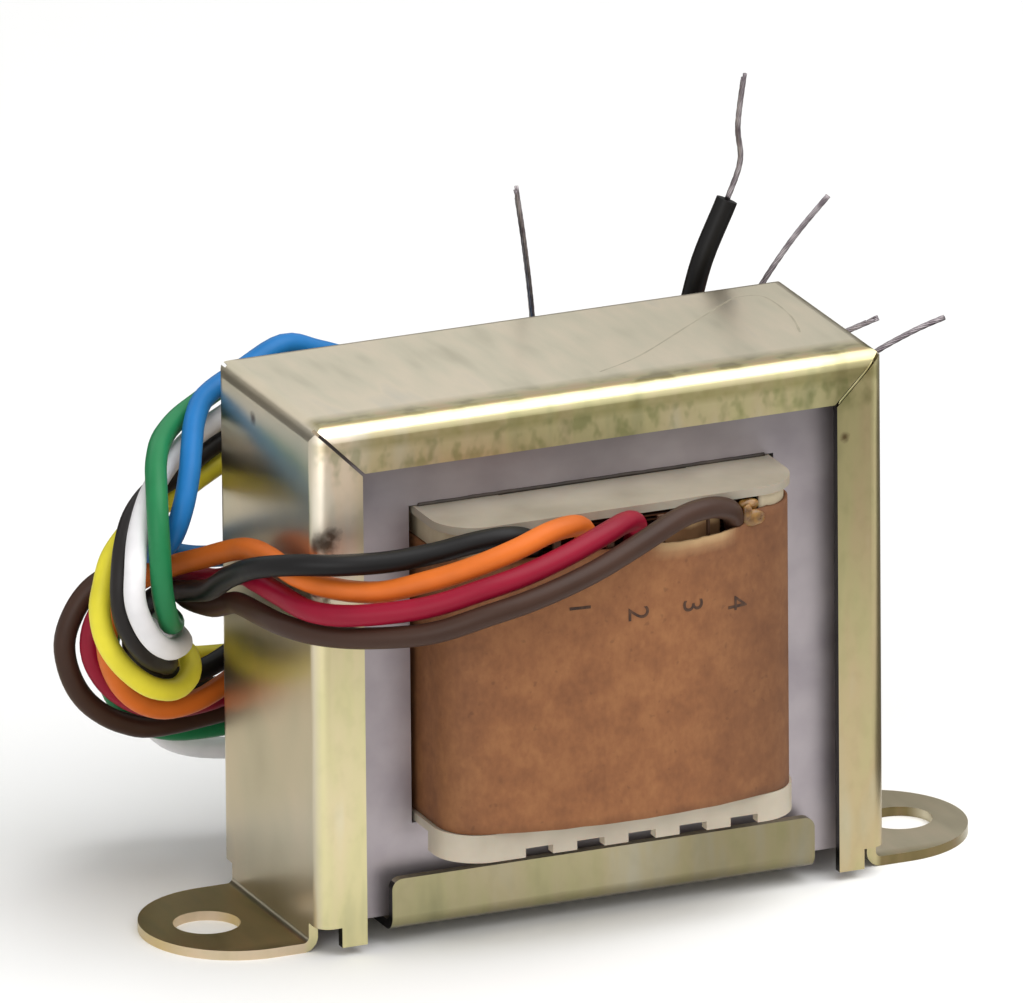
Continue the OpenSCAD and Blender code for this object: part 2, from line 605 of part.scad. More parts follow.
module black_lead() { color("#2d2a2d") lead(black_route, black_bare); }
module black_lead_end() { color("#8f8a8c") lead_end(black_route, black_bare); }
module orange_lead() { color("#f07828") lead(orange_route, orange_bare); }
module orange_lead_end() { color("#8f8a8c") lead_end(orange_route, orange_bare); }
module red_lead() { color("#96142d") lead(red_route, red_bare); }
module red_lead_end() { color("#8f8a8c") lead_end(red_route, red_bare); }
module brown_lead() { color("#4b3a34") lead(brown_route, brown_bare); }
module brown_lead_end() { color("#8f8a8c") lead_end(brown_route, brown_bare); }
module blue_lead() { color("#2d7dc8") lead(blue_route, blue_bare); }
module blue_lead_end() { color("#8f8a8c") lead_end(blue_route, blue_bare); }
module green_lead() { color("#328255") lead(green_route, green_bare); }
module green_lead_end() { color("#8f8a8c") lead_end(green_route, green_bare); }
module white_lead() { color("#f0eef0") lead(white_route, white_bare); }
module white_lead_end() { color("#8f8a8c") lead_end(white_route, white_bare); }
module rear_black_lead() { color("#2a2826") lead(rear_black_route, rear_black_bare); }
module rear_black_lead_end() { color("#8f8a8c") lead_end(rear_black_route, rear_black_bare); }
module yellow_lead() { color("#e6dc46") lead(yellow_route, yellow_bare); }
module yellow_lead_end() { color("#8f8a8c") lead_end(yellow_route, yellow_bare); }

channel_frame();
bottom_keeper();
e_laminations();
i_laminations();
coil_former();
primary_winding();
interlayer_insulation();
secondary_winding();
outer_insulation();
cover_paper();
front_solder_joints();
rear_solder_joints();
black_lead();
black_lead_end();
orange_lead();
orange_lead_end();
red_lead();
red_lead_end();
brown_lead();
brown_lead_end();
blue_lead();
blue_lead_end();
green_lead();
green_lead_end();
white_lead();
white_lead_end();
rear_black_lead();
rear_black_lead_end();
yellow_lead();
yellow_lead_end();
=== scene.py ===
import math

import bpy
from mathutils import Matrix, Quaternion, Vector, noise


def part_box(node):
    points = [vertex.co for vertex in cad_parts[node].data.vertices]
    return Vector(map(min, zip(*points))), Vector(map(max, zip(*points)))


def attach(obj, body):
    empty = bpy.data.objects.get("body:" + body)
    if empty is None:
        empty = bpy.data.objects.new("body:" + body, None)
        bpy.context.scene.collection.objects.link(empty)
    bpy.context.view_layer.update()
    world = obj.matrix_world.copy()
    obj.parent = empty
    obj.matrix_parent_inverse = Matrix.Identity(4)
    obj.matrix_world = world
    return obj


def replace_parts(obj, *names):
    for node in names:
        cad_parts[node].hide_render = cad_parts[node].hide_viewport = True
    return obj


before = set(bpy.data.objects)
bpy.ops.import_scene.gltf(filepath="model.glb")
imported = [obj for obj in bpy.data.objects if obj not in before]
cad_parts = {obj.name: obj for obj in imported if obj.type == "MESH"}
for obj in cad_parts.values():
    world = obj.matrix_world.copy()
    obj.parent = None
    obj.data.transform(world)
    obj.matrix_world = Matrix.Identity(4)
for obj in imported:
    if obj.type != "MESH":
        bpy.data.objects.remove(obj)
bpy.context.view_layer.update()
scene = bpy.context.scene
scene.view_settings.view_transform = "Standard"
mm = 0.001
print("frame loaded:", len(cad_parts), "nodes")


# Small helpers
def linear(hexColour, share=1):
    # sRGB hex to linear colour with alpha, whole or at a share of its light
    parts = [int(hexColour[i:i + 2], 16) / 255 for i in (0, 2, 4)]
    light = [c / 12.92 if c <= 0.04045 else ((c + 0.055) / 1.055) ** 2.4 for c in parts]
    return [min(1, c * share) for c in light] + [1]


def feed(tree, node, values):
    # a socket is linked; another value goes to the node's property of that name, or else to its input
    for key, value in values.items():
        if isinstance(value, bpy.types.NodeSocket):
            tree.links.new(value, node.inputs[key])
        elif isinstance(key, str) and hasattr(node, key):
            setattr(node, key, value)
        else:
            node.inputs[key].default_value = value


def addNode(tree, kind, values=None):
    node = tree.nodes.new("ShaderNode" + kind)
    feed(tree, node, values or {})
    return next(socket for socket in node.outputs if socket.enabled)  # the output in use


def maths(tree, operation, *values):
    return addNode(tree, "Math", {"operation": operation, **dict(enumerate(values))})


def axesOf(tree, vector):
    return addNode(tree, "SeparateXYZ", {0: vector}).node.outputs


def ramp(tree, value, low, high, least=0, most=1):
    return addNode(tree, "MapRange", {0: value, 1: low, 2: high, 3: least, 4: most})


def overlap(tree, *limits):
    # share by which a point lies inside all the limits, each a value with where it begins and is full
    share = None
    for value, (begin, full) in limits:
        inside = ramp(tree, value, begin, full)
        share = inside if share is None else maths(tree, "MULTIPLY", share, inside)
    return share


def blend(tree, share, first, second, kind="MIX"):
    # from the first colour to the second, or to both multiplied
    return addNode(tree, "Mix", {"data_type": "RGBA", "blend_type": kind, 0: share, 6: first, 7: second})


def darker(tree, colour, value, begin, full, shade):
    # the colour falls to a share of itself as the value goes from one number to the other
    return blend(tree, 1, colour, ramp(tree, value, begin, full, 1, shade), "MULTIPLY")


def tinted(tree, value, stops):
    # colours by a value: position and hex colour, with a share of its light where it is darker or lighter
    tint = addNode(tree, "ValToRGB", {"Fac": value})
    elements = tint.node.color_ramp.elements
    while len(elements) < len(stops):
        elements.new(0.5)
    for element, (position, *tone) in zip(elements, stops):
        element.position = position
        element.color = linear(*tone)
    return tint


def softNoise(tree, place, size, detail, roughness=0.5):
    # noise with features of that many millimetres
    values = {"Vector": place, "Scale": 1 / size, "Detail": detail, "Roughness": roughness}
    return addNode(tree, "TexNoise", values)


def stretchedNoise(tree, place, sizes, detail=2):
    # noise with a size of its own along each axis
    stretch = addNode(tree, "Mapping", {"Vector": place, "Scale": [1 / size for size in sizes]})
    return softNoise(tree, stretch, 1, detail)


def bumped(tree, height, strength, depth, **under):
    # relief of that depth in millimetres, on another normal where one is given
    return addNode(tree, "Bump", {"Height": height, "Strength": strength, "Distance": depth * mm, **under})


def newMaterial(name, plain):
    # principled shader with its plain values, and the surface's own coordinates in millimetres
    material = bpy.data.materials.new(name)
    material.use_nodes = True
    tree = material.node_tree
    shader = tree.nodes["Principled BSDF"]
    feed(tree, shader, plain)
    metres = addNode(tree, "TexCoord").node.outputs["Object"]
    place = addNode(tree, "VectorMath", {"operation": "SCALE", 0: metres, "Scale": 1 / mm})
    return material, tree, shader, place


def cloudedFinish(name, look):
    # a finish whose tone, and gloss where it has a range, follow one soft noise
    material, tree, shader, place = newMaterial(name, look["plain"])
    cloud = softNoise(tree, place, *look["cloud"])
    tone = tinted(tree, cloud, look["tones"])
    feed(tree, shader, {"Base Color": tone})
    if "gloss" in look:
        feed(tree, shader, {"Roughness": ramp(tree, cloud, 0, 1, *look["gloss"])})
    return material, tree, shader, place, tone


def addPiece(name, data, material):
    piece = bpy.data.objects.new(name, data)
    scene.collection.objects.link(piece)
    piece.data.materials.append(material)
    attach(piece, "root")
    return piece


def meshOf(name, points, faces, smooth=True):
    # points in millimetres
    mesh = bpy.data.meshes.new(name)
    mesh.from_pydata([Vector(p) * mm for p in points], [], faces)
    mesh.validate()
    mesh.polygons.foreach_set("use_smooth", [smooth] * len(mesh.polygons))
    return mesh


# Camera: a long lens from the front, a little to the left and above
cameraView = {
    "turn": 23.11,  # degrees round from the front
    "drop": 19.5,  # degrees down from level
    "roll": -0.51,
    "distance": 2547,  # mm
    "centre": (0, 0, 0.8),  # what it turns about
    "lens": 1103.8,
    "aim": (-3.5, 0, 32.9),  # what lies in the middle of the picture
    "clipEnd": 100,  # metres
}


def makeCamera(view):
    turn = math.radians(view["turn"])
    drop = math.radians(view["drop"])
    level = math.cos(drop)
    sight = Vector((math.sin(turn) * level, math.cos(turn) * level, -math.sin(drop)))
    camera = bpy.data.objects.new("camera", bpy.data.cameras.new("camera"))
    scene.collection.objects.link(camera)
    camera.location = (Vector(view["centre"]) - sight * view["distance"]) * mm
    towards = (Vector(view["aim"]) * mm - camera.location).to_track_quat("-Z", "Y")
    camera.rotation_mode = "QUATERNION"
    camera.rotation_quaternion = towards @ Quaternion((0, 0, 1), math.radians(view["roll"]))
    camera.data.lens = view["lens"]
    camera.data.clip_end = view["clipEnd"]
    scene.camera = camera


makeCamera(cameraView)
print("camera set")


# Soft PVC insulation, extruded: even colour, satin, with a broad soft highlight and faint handling marks
pvcLook = {
    "marks": [(0.3, 0.88), (0.7, 1.12)],  # place in the noise and share of the colour
    "cloud": (5, 3),  # of each noise: size in mm and detail
    "gloss": (0.36, 0.5),
    "peel": (0.5, 2),  # orange peel of the skin
    "bump": (0.25, 0.02),  # strength, and depth in mm
    "plain": {"IOR": 1.53, "Specular IOR Level": 0.2},
}


def softPvc(name, colour):
    look = pvcLook
    tones = [(position, colour, share) for position, share in look["marks"]]
    material, tree, shader, place = cloudedFinish(name, {**look, "tones": tones})[:4]
    peel = softNoise(tree, place, *look["peel"])
    feed(tree, shader, {"Normal": bumped(tree, peel, *look["bump"])})
    return material


# Tinned copper strand: grey metal, dulled in patches
tinnedLook = {
    "tones": [(0.35, "665d62"), (0.65, "9f989a")],
    "cloud": (1.2, 4),
    "plain": {"Metallic": 1, "Roughness": 0.36},
}


# Leads: route points in millimetres, from the coil to the bare tip
leadRun = {
    "diameter": 1.9,
    "girth": 1.8,  # the insulation as shown, a hair inside its solid
    "tinned": 0.48,
    "first": -7.9,  # place of the first lead across the coil
    "pitch": 4.5,
    "out": 14.2,  # distance of the lead starts from the coil's middle
    "rise": (28.8, 30.3, 31.8),  # heights of the straight start
    "exitPoint": 4,  # the route point at the mouth of the wrap
    "steps": 5,  # curve points to each route point
    "bevel": 6,
}
leads = {
    "black": {
        "place": 0, "side": -1, "bare": 3, "length": 134.3, "colour": "0d0b0b", "slot": "black_pvc",
        "route": [
            (-8, -14.5, 33.1), (-8.4, -15.5, 34.6), (-9.4, -16.6, 35.7), (-11.3, -17.2, 36.3),
            (-13.8, -16.8, 36.1), (-17, -16, 35.4), (-20.6, -15.1, 34.9), (-24.4, -13.7, 34.7),
            (-27.4, -11.3, 34.4), (-29.2, -7.5, 33.2), (-29.5, -3, 31.1), (-29.6, 1, 28.8),
            (-29.9, 4.6, 27.6), (-30.6, 8, 26.5), (-31.6, 10.2, 24.6), (-32, 11.6, 21.6),
            (-30.7, 12.7, 18.5), (-28.2, 13.5, 17), (-25, 14.2, 17.1), (-22, 15.4, 17.7), (-18, 17.6, 18.9),
            (-12, 18.7, 19.4), (-4, 18.7, 19.4), (4, 18.7, 19.4), (9, 18.7, 20.4), (12.4, 18.5, 23.4),
            (15, 18.1, 28.3), (17, 17.4, 33.8), (19, 16.6, 39.8), (20.4, 16.1, 45.3), (22.6, 16, 50.2),
            (23.8, 16, 53.4), (23.6, 16, 56.4), (24.2, 16, 60.8)],
    },
    "orange": {
        "place": 1, "side": -1, "bare": 2, "length": 144.1, "colour": "d16a25", "slot": "orange_pvc",
        "route": [
            (-3.5, -14.5, 33.1), (-3.7, -15.5, 34.6), (-4.4, -16.8, 35.9), (-5.8, -17.9, 36.7),
            (-8.2, -18.7, 36.7), (-11.4, -19.3, 35.9), (-14.9, -18.9, 34.8), (-18.3, -17.4, 33.6),
            (-21.6, -15.2, 32.5), (-24.6, -12.8, 32.5), (-26.5, -9.8, 32.9), (-27, -5.8, 33.2),
            (-27.1, -2, 32.8), (-27.5, 1.2, 31.8), (-28.8, 4.4, 30.3), (-30.6, 7.2, 28.9),
            (-32.8, 9.2, 27.2), (-34.2, 10.8, 24.4), (-34, 12, 20.4), (-32.2, 12.8, 16.8),
            (-29.2, 13.4, 14.7), (-25.6, 14.2, 14.5), (-22, 15.6, 15.3), (-18, 17.6, 16.5),
            (-12, 18.7, 16.9), (-4, 18.7, 16.9), (4, 18.7, 16.9), (11, 18.7, 17.1), (16, 18.7, 18.8),
            (19.4, 18.6, 23.3), (21.8, 18.2, 29.8), (23.6, 17.4, 36.3), (25, 16.4, 41.1),
            (28.2, 16, 45.8), (31.6, 16, 49.3)],
    },
    "red": {
        "place": 2, "side": -1, "bare": 2, "length": 156.3, "colour": "8c0d2a", "slot": "red_pvc",
        "route": [
            (1, -14.5, 33.1), (0.8, -15.5, 34.6), (0.1, -16.8, 35.8), (-1.3, -18.1, 36.4),
            (-3.8, -19.4, 36.1), (-7.4, -20.4, 35.2), (-11.2, -20.8, 34.2), (-14.8, -20.4, 33.3),
            (-19, -18.7, 31.9), (-23.8, -15.5, 30.9), (-26.4, -12.4, 30.7), (-27.3, -8, 30.9),
            (-27.4, -4, 30.7), (-27, 0.6, 29.9), (-27.5, 4.4, 28.3), (-28.6, 8, 27.7), (-29.9, 11, 27.3),
            (-31.6, 13.8, 25.4), (-33.6, 15, 22.8), (-34.2, 15.2, 19.8), (-32.8, 15.4, 16.8),
            (-30.2, 15.8, 14.6), (-27, 16, 13.6), (-23, 16.8, 13.5), (-18, 18.2, 14.1), (-12, 18.7, 14.4),
            (-4, 18.7, 14.4), (4, 18.7, 14.4), (11, 18.7, 14.4), (18, 18.7, 15), (24, 18.5, 18.8),
            (28.6, 17.8, 25.3), (32.2, 16.8, 31.8), (34.9, 16.2, 34.7), (38.8, 16, 36.5), (41.9, 16, 37.4)],
    },
    "brown": {
        "place": 4, "side": -1, "bare": 2, "length": 159.3, "colour": "3d281e", "slot": "brown_pvc",
        "route": [
            (9.9, -14.6, 33.2), (9.3, -15.5, 34.6), (8.2, -16.8, 35.8), (6.2, -17.8, 36.5),
            (3.4, -18.7, 36.4), (-0.6, -20.1, 35.3), (-5.6, -21.6, 33.9), (-10.6, -22.1, 32.6),
            (-14.8, -21.5, 31.5), (-18.9, -19.6, 30), (-22.8, -16.3, 29.1), (-25.6, -13, 28.7),
            (-27.4, -9.6, 28.7), (-28, -6, 28.6), (-27.9, -2.4, 28.2), (-27.5, 1, 27.4), (-27.8, 4.6, 26),
            (-28.4, 8.2, 25.6), (-28.4, 11.5, 25.8), (-29.2, 14.2, 26.1), (-31, 16, 25.8),
            (-33.2, 16.6, 24.8), (-34.9, 16.8, 22.8), (-35.8, 16.9, 20), (-35.1, 17, 16.8),
            (-33.3, 17.2, 14.2), (-30.4, 17.4, 12.3), (-27, 17.5, 11.6), (-18, 18.6, 11.9),
            (-9, 18.8, 11.9), (0.2, 19.2, 12.2), (4.4, 20.9, 13.8), (6.8, 21.3, 17.3), (7.7, 21.4, 23.3),
            (7.7, 21.3, 31.8), (7.2, 20.4, 40.1), (6.4, 20, 46.8), (5.6, 20, 52.5)],
    },
    "blue": {
        "place": 4, "side": 1, "bare": 1, "length": 141.7, "colour": "1f72b4", "slot": "blue_pvc",
        "route": [
            (10.1, 14.4, 33.8), (9.7, 15.3, 35.6), (8.3, 16.6, 37.1), (5, 17.8, 39), (0, 18, 40.1),
            (-5, 17.7, 40.4), (-10, 16.9, 40.9), (-13.8, 15.4, 42.5), (-17.4, 14.2, 43.9),
            (-21.6, 13.1, 42.6), (-25.4, 11.4, 41.5), (-27.3, 9.2, 40.4), (-28.6, 6.8, 39),
            (-29.7, 4.8, 37.2), (-30.8, 3.6, 34.9), (-31.6, 4, 32.5), (-32.1, 6, 30.8), (-32.3, 8.6, 30.2),
            (-31.8, 11.2, 30), (-30.6, 13.6, 29.1), (-28.8, 15.6, 27.9), (-26.4, 17.2, 26.5),
            (-23.6, 18.2, 25.4), (-19.6, 18.8, 24.8), (-13, 18.9, 24.2), (-6, 18.9, 24.2), (2, 18.9, 24.2),
            (8.6, 19.2, 24.2), (12.6, 20.8, 24.6), (17, 21.4, 25.8), (22, 21.2, 28.4), (27, 20, 31.8),
            (31, 18, 35.6), (32.4, 17.2, 36.6), (36, 16, 38.2)],
    },
    "green": {
        "place": 3, "side": 1, "bare": 2, "length": 144.5, "colour": "237a4a", "slot": "green_pvc",
        "route": [
            (5.5, 14.4, 33.8), (5.1, 15.4, 35.5), (3.7, 17, 36.8), (0.6, 19.4, 37.9), (-4, 21.2, 38.7),
            (-9, 21.6, 39.4), (-14, 20.4, 40), (-18.6, 18.1, 40.5), (-22.4, 15.3, 40.7),
            (-25.3, 13.3, 40.3), (-28, 11.4, 39.8), (-30.3, 9, 39.2), (-32, 6.1, 38.4), (-33.1, 3.4, 37),
            (-33.7, 1.7, 34.8), (-33.8, 1.1, 32), (-33.6, 1.3, 29.4), (-33, 2, 27.2), (-32, 3.6, 25.5),
            (-30.7, 6, 24.6), (-29.8, 9, 24), (-29.7, 12, 23.9), (-30.4, 15.2, 23.1), (-31, 17.8, 21.2),
            (-31, 19.4, 17.8), (-30.4, 20.2, 14.4), (-28.4, 20.2, 11.6), (-25, 20.1, 10.1),
            (-19, 20.6, 9.7), (-12, 20.9, 9.7), (-4, 20.9, 9.7), (4, 20.9, 9.7), (12, 20.9, 9.7),
            (20, 20.9, 9.8), (25, 20.9, 10), (30, 20.9, 10.4)],
    },
    "white": {
        "place": 2, "side": 1, "bare": 2, "length": 129.1, "colour": "ebe9ea", "slot": "white_pvc",
        "route": [
            (1, 14.4, 33.8), (0.6, 15.4, 35.5), (-0.8, 16.9, 36.8), (-4.2, 18.5, 38), (-8, 19, 39.2),
            (-12, 18.4, 40), (-16, 17.2, 40), (-20, 15.2, 39.4), (-23.2, 13.2, 38.9), (-26, 11.9, 38.2),
            (-28.6, 9.9, 37.5), (-31.2, 7.3, 36.7), (-33.3, 5, 35.5), (-35, 2.9, 33.4), (-35.8, 1.6, 31),
            (-36, 1.2, 28.8), (-35.4, 1.3, 26.8), (-34.1, 1.9, 24.8), (-32, 3.7, 23.2), (-29.6, 7, 22.4),
            (-28.7, 10.6, 22), (-28.5, 14.6, 21.9), (-28.2, 18.2, 20.6), (-27.9, 20.8, 18),
            (-27.4, 22.2, 14.4), (-26.4, 22.8, 10.8), (-24, 22.6, 8.2), (-19.6, 21.6, 7.3), (-12, 21, 7.2),
            (-4, 21, 7.2), (4, 21, 7.2), (10, 21, 7.2), (15, 21, 7.3), (20, 21, 7.6)],
    },
    "rear_black": {
        "place": 1, "side": 1, "bare": 2, "length": 112.2, "colour": "1f1b1a", "slot": "black_pvc",
        "finish": "black_pvc_warm",
        "route": [
            (-3.5, 14.4, 33.8), (-3.9, 15.3, 35.5), (-5.3, 16.7, 36.8), (-8.2, 17.6, 37.6), (-12, 17.4, 38),
            (-16, 16.6, 37.9), (-20, 15.2, 37.2), (-22.8, 14, 36.8), (-25.6, 12.4, 36.2),
            (-28.8, 10.3, 35.4), (-31.7, 8.5, 34.9), (-33.8, 6.8, 33.8), (-35.3, 5, 32.1), (-36.1, 3.8, 30),
            (-36.3, 3.4, 28), (-35.9, 3.5, 26), (-34.7, 4.1, 23.9), (-33, 5.3, 22.1), (-31.2, 7, 20.9),
            (-30, 9.2, 20), (-29.1, 11.8, 19.9), (-29.1, 14.6, 19.5), (-29.2, 17, 17.8),
            (-28.4, 18.8, 15.4), (-25.8, 19.9, 13.5), (-20, 20.7, 13), (-12, 20.9, 13), (-6, 21, 13.6),
            (-2.4, 21.3, 16.2), (-0.6, 21.4, 20.8), (0, 21.2, 26.8), (0.2, 21, 31.8), (0.2, 21, 36.8)],
    },
    "yellow": {
        "place": 0, "side": 1, "bare": 2, "length": 95.5, "colour": "e3d63c", "slot": "yellow_pvc",
        "route": [
            (-8.1, 14.5, 33.2), (-8.6, 15.3, 34.7), (-10, 16.5, 35.7), (-12.6, 17.3, 35.9),
            (-16.4, 16.5, 35.4), (-20, 15.4, 35), (-22.8, 14.2, 34.7), (-25.6, 12.6, 34.2),
            (-28.8, 10.8, 33.4), (-31.8, 9.2, 32.9), (-34, 8, 31.8), (-35.8, 6.9, 30.4), (-36.8, 6, 28.6),
            (-37.3, 5.6, 26.6), (-36.8, 5.5, 24), (-35.1, 5.9, 21.4), (-32.6, 6.6, 19.2),
            (-29.9, 7.8, 18.2), (-27.8, 9.7, 18.6), (-26.9, 12.4, 19.4), (-27.1, 15.2, 19.3),
            (-27.2, 17.5, 18.4), (-26.4, 19.5, 17.2), (-24.4, 20.6, 16.2), (-21.6, 20.9, 15.7),
            (-16.4, 20.9, 15.6), (-12, 21, 16.6), (-9, 21.2, 19.4), (-7.5, 21.2, 23.2), (-7, 21, 27.3),
            (-6.8, 20.9, 31.8), (-6.8, 20.8, 36.3)],
    },
}


def wholeRoute(lead):
    across = leadRun["first"] + lead["place"] * leadRun["pitch"]
    start = [(across, lead["side"] * leadRun["out"], z) for z in leadRun["rise"]]
    return [Vector(p) for p in start + lead["route"]]


def smoothLine(points, steps):
    # one smooth curve through the points, with that many steps from each to the next
    line = []
    last = len(points) - 1
    for i in range(last):
        a, b, c, d = points[max(i - 1, 0)], points[i], points[i + 1], points[min(i + 2, last)]
        for s in range(steps):
            t = s / steps
            square = (2 * a - 5 * b + 4 * c - d) * t ** 2
            cube = (3 * b - a - 3 * c + d) * t ** 3
            line.append(0.5 * (2 * b + (c - a) * t + square + cube))
    return line + [points[last]]


def sideways(line):
    # two side directions at each point, carried along without twist
    frames = []
    side = Vector((0, 1, 0.3))  # any that no line sets out along
    for i in range(len(line)):
        travel = (line[min(i + 1, len(line) - 1)] - line[max(i - 1, 0)]).normalized()
        side = (side - side.dot(travel) * travel).normalized()
        frames.append((side, travel.cross(side)))
    return frames


def tubeMesh(lines, radius, sides):
    # round bars along several lines as one set of points and faces
    points, faces = [], []
    for line in lines:
        base = len(points)
        for centre, (u, v) in zip(line, sideways(line)):
            for k in range(sides):
                turn = 2 * math.pi * k / sides
                points.append(centre + radius * (math.cos(turn) * u + math.sin(turn) * v))
        for i in range(len(line) - 1):
            for k in range(sides):
                a = base + i * sides + k
                b = base + i * sides + (k + 1) % sides
                faces.append((a, b, b + sides, a + sides))
        last = base + (len(line) - 1) * sides
        faces.append([base + sides - 1 - k for k in range(sides)])
        faces.append([last + k for k in range(sides)])
    return points, faces


def resample(line, gap):
    # the line again with even steps of about that length
    lengths = [0]
    for a, b in zip(line[:-1], line[1:]):
        lengths.append(lengths[-1] + (b - a).length)
    count = max(2, round(lengths[-1] / gap))
    out, j = [], 0
    for i in range(count + 1):
        at = lengths[-1] * i / count
        while j < len(line) - 2 and lengths[j + 1] < at:
            j += 1
        out.append(line[j].lerp(line[j + 1], (at - lengths[j]) / (lengths[j + 1] - lengths[j])))
    return out


# Bare tips: six strands laid round a seventh, cut unevenly
strandLay = {
    "strands": 6,
    "thickness": 0.2,
    "lay": 5,  # length of one turn
    "sides": 6,
    "ringGap": 0.35,
    "short": 2,  # the most that a strand falls short
    "seed": (3.7, 0.13),
}


def makeStrands(name, line, material):
    lay = strandLay
    middle = resample(line, lay["ringGap"])
    frames = sideways(middle)
    ring = (leadRun["tinned"] - lay["thickness"]) / 2
    lines = [middle]
    for k in range(lay["strands"]):
        uneven = abs(noise.noise((k * lay["seed"][0], len(middle) * lay["seed"][1], 0)))
        strand = []
        for i in range(len(middle) - int(uneven * lay["short"] / lay["ringGap"])):
            turn = 2 * math.pi * (k / lay["strands"] + i * lay["ringGap"] / lay["lay"])
            u, v = frames[i]
            strand.append(middle[i] + ring * (math.cos(turn) * u + math.sin(turn) * v))
        lines.append(strand)
    points, faces = tubeMesh(lines, lay["thickness"] / 2, lay["sides"])
    return addPiece(name + "_strands", meshOf(name + "_strands", points, faces), material)


def makeLead(name, lead, tipMaterial):
    route = wholeRoute(lead)
    line = smoothLine(route, leadRun["steps"])
    cut = (len(route) - 1 - lead["bare"]) * leadRun["steps"]  # where the insulation is stripped
    curve = bpy.data.curves.new(name + "_insulation", "CURVE")
    curve.dimensions = "3D"
    curve.bevel_depth = leadRun["girth"] / 2 * mm
    curve.bevel_resolution = leadRun["bevel"]
    curve.use_fill_caps = True
    spline = curve.splines.new("POLY")
    spline.points.add(cut)
    for point, place in zip(spline.points, line):
        point.co = (*(place * mm), 1)
    spline.use_smooth = True
    material = softPvc(lead.get("finish", lead["slot"]), lead["colour"])
    insulation = addPiece(name + "_insulation", curve, material)
    strands = makeStrands(name, line[cut:], tipMaterial)
    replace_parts(insulation, name + "_lead")
    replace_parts(strands, name + "_lead_end")


tinned = cloudedFinish("tinned_copper_strand", tinnedLook)[0]
for leadName, leadFacts in leads.items():
    makeLead(leadName, leadFacts, tinned)
print("leads laid:", len(leads))


# Zinc plate with a yellow chromate film on folded steel: a satin mirror, beige on the broad panels and straw
# on the narrow flanges, with peach and green bloom, and with painted reflection and painted shade in set
# areas, beside the front fold, inside the channel and in the ears' folds
zincLook = {
    "panel": [(0.3, "b3ab93"), (0.45, "c8c0a8"), (0.57, "d2c6ae"), (0.7, "c3bcaa")],
    "flange": [(0.32, "b7b48a"), (0.45, "d2ca9b"), (0.56, "d8cba3"), (0.68, "d8d0b5")],
    "upperLeft": [(0.32, "e8dbb8"), (0.45, "f8e8ce"), (0.56, "fbead4"), (0.68, "eee7d6")],
    "right": [(0.32, "99946e"), (0.45, "b4ab80"), (0.56, "b8a782"), (0.68, "b6ae92")],
    "keeperRight": [(0.32, "9a966f"), (0.45, "aea67c"), (0.56, "b3a884"), (0.68, "b3ac93")],
    "rightEar": [(0.32, "5f5538"), (0.45, "776a49"), (0.56, "806d51"), (0.68, "7a715a")],
    "leftEar": [(0.32, "c2b398"), (0.45, "d0bfa2"), (0.56, "d8c4aa"), (0.68, "cfc3ac")],
    "leftEarTop": [(0.3, "b3a477"), (0.45, "c7b788"), (0.57, "d1bb8c"), (0.7, "c3b388")],
    # painted light in the area tones: on the upper left flange a painted pale reflection; on the right
    # flange, the keeper's right half and the right ear's edges painted shade; on the left ear's edges a
    # painted pale highlight; on the top of the left ear a painted olive reflection tint
    "panelAreas": {"leftEarTop": ((-25, -25.5), (1.4, 1))},  # along x and z, each from where to where
    "flangeAreas": {
        "upperLeft": ((-20, -22), (27, 33)),
        "keeperRight": ((2, 9), (6.4, 6)),
        "right": ((19, 21), (0, 1)),
        "leftEar": ((-25, -25.5), (1.4, 1)),
        "rightEar": ((25, 25.5), (1.4, 1)),
    },
    "flangeFacing": (0.3, 0.8),
    "patch": (15, 2),  # size of the bloom
    "streak": (2, 9, 11),  # marks across the folds
    "streakShare": 0.45,
    "mottle": (1.3, 2, 1.9),  # green-grey blotches, most on the top flange
    "mottleTones": [(0.34, "d2d8cb"), (0.5, "fafaf8"), (0.64, "ffffff")],
    "mottleShare": (40, 41.2, 0.15, 1),  # heights from and to, share below and above
    "mottleEnd": (43.5, 42.9),  # the fold stays clear
    "foldReflectionLine": [(42.5, 43.2), (44, 43.6)],  # painted olive reflection line under the bright fold: heights in and out
    "foldReflectionLineTone": "bfbe9c",
    "fold": [(0.36, "857c56"), (0.5, "a39a70"), (0.62, "ac9873")],  # mottled bloom on the top beside the front fold, darkened as a painted reflection
    "foldPatch": (2.4, 1.6, 2.4),
    "foldShadeBand": (-6.6, -8.4),  # along y
    "topFacing": (0.7, 0.95),
    "rawEdgeAndShade": "1f1c19",  # raw edges, darkened further as painted shade, and painted shade on the inside of the channel
    "cutWithin": (24.1, 24.05),  # distances from the middle
    "cutFacing": (0.7, 0.75),
    "earFold": (1.7, 1.3),  # painted shade in the inner fold of each ear, by height
    "earSlope": (0.02, 0.12),
    "earShade": 0.6,
    "rust": "4d3320",
    "spots": [  # place and reach: a rust speck on the right flange, two smudges on the left flange that are painted shadow of the black lead, and a scratch mark on the left panel
        (21.45, -10.25, 38, 0.5), (-24.1, -10.25, 35.3, 1.3),
        (-23.6, -10.25, 36, 1), (-25, 2.5, 42.3, 0.7)],
    "spotEdge": (0.7, 1.5, 0.8),  # shares of the reach where a spot fades and ends, and its strength
    "ragged": (0.6, 3),  # unevenness of the spots' edges
    "lean": (37, 43.7, 0.2),  # the sides lean in a little below the top folds: from, to, by
    "wave": (9, 1),  # gentle unevenness of the sheet
    "waveBump": (1, 0.03),
    "grain": (0.22, 3),
    "grainBump": (0.15, 0.01),
    "gloss": (0.26, 0.36),
}


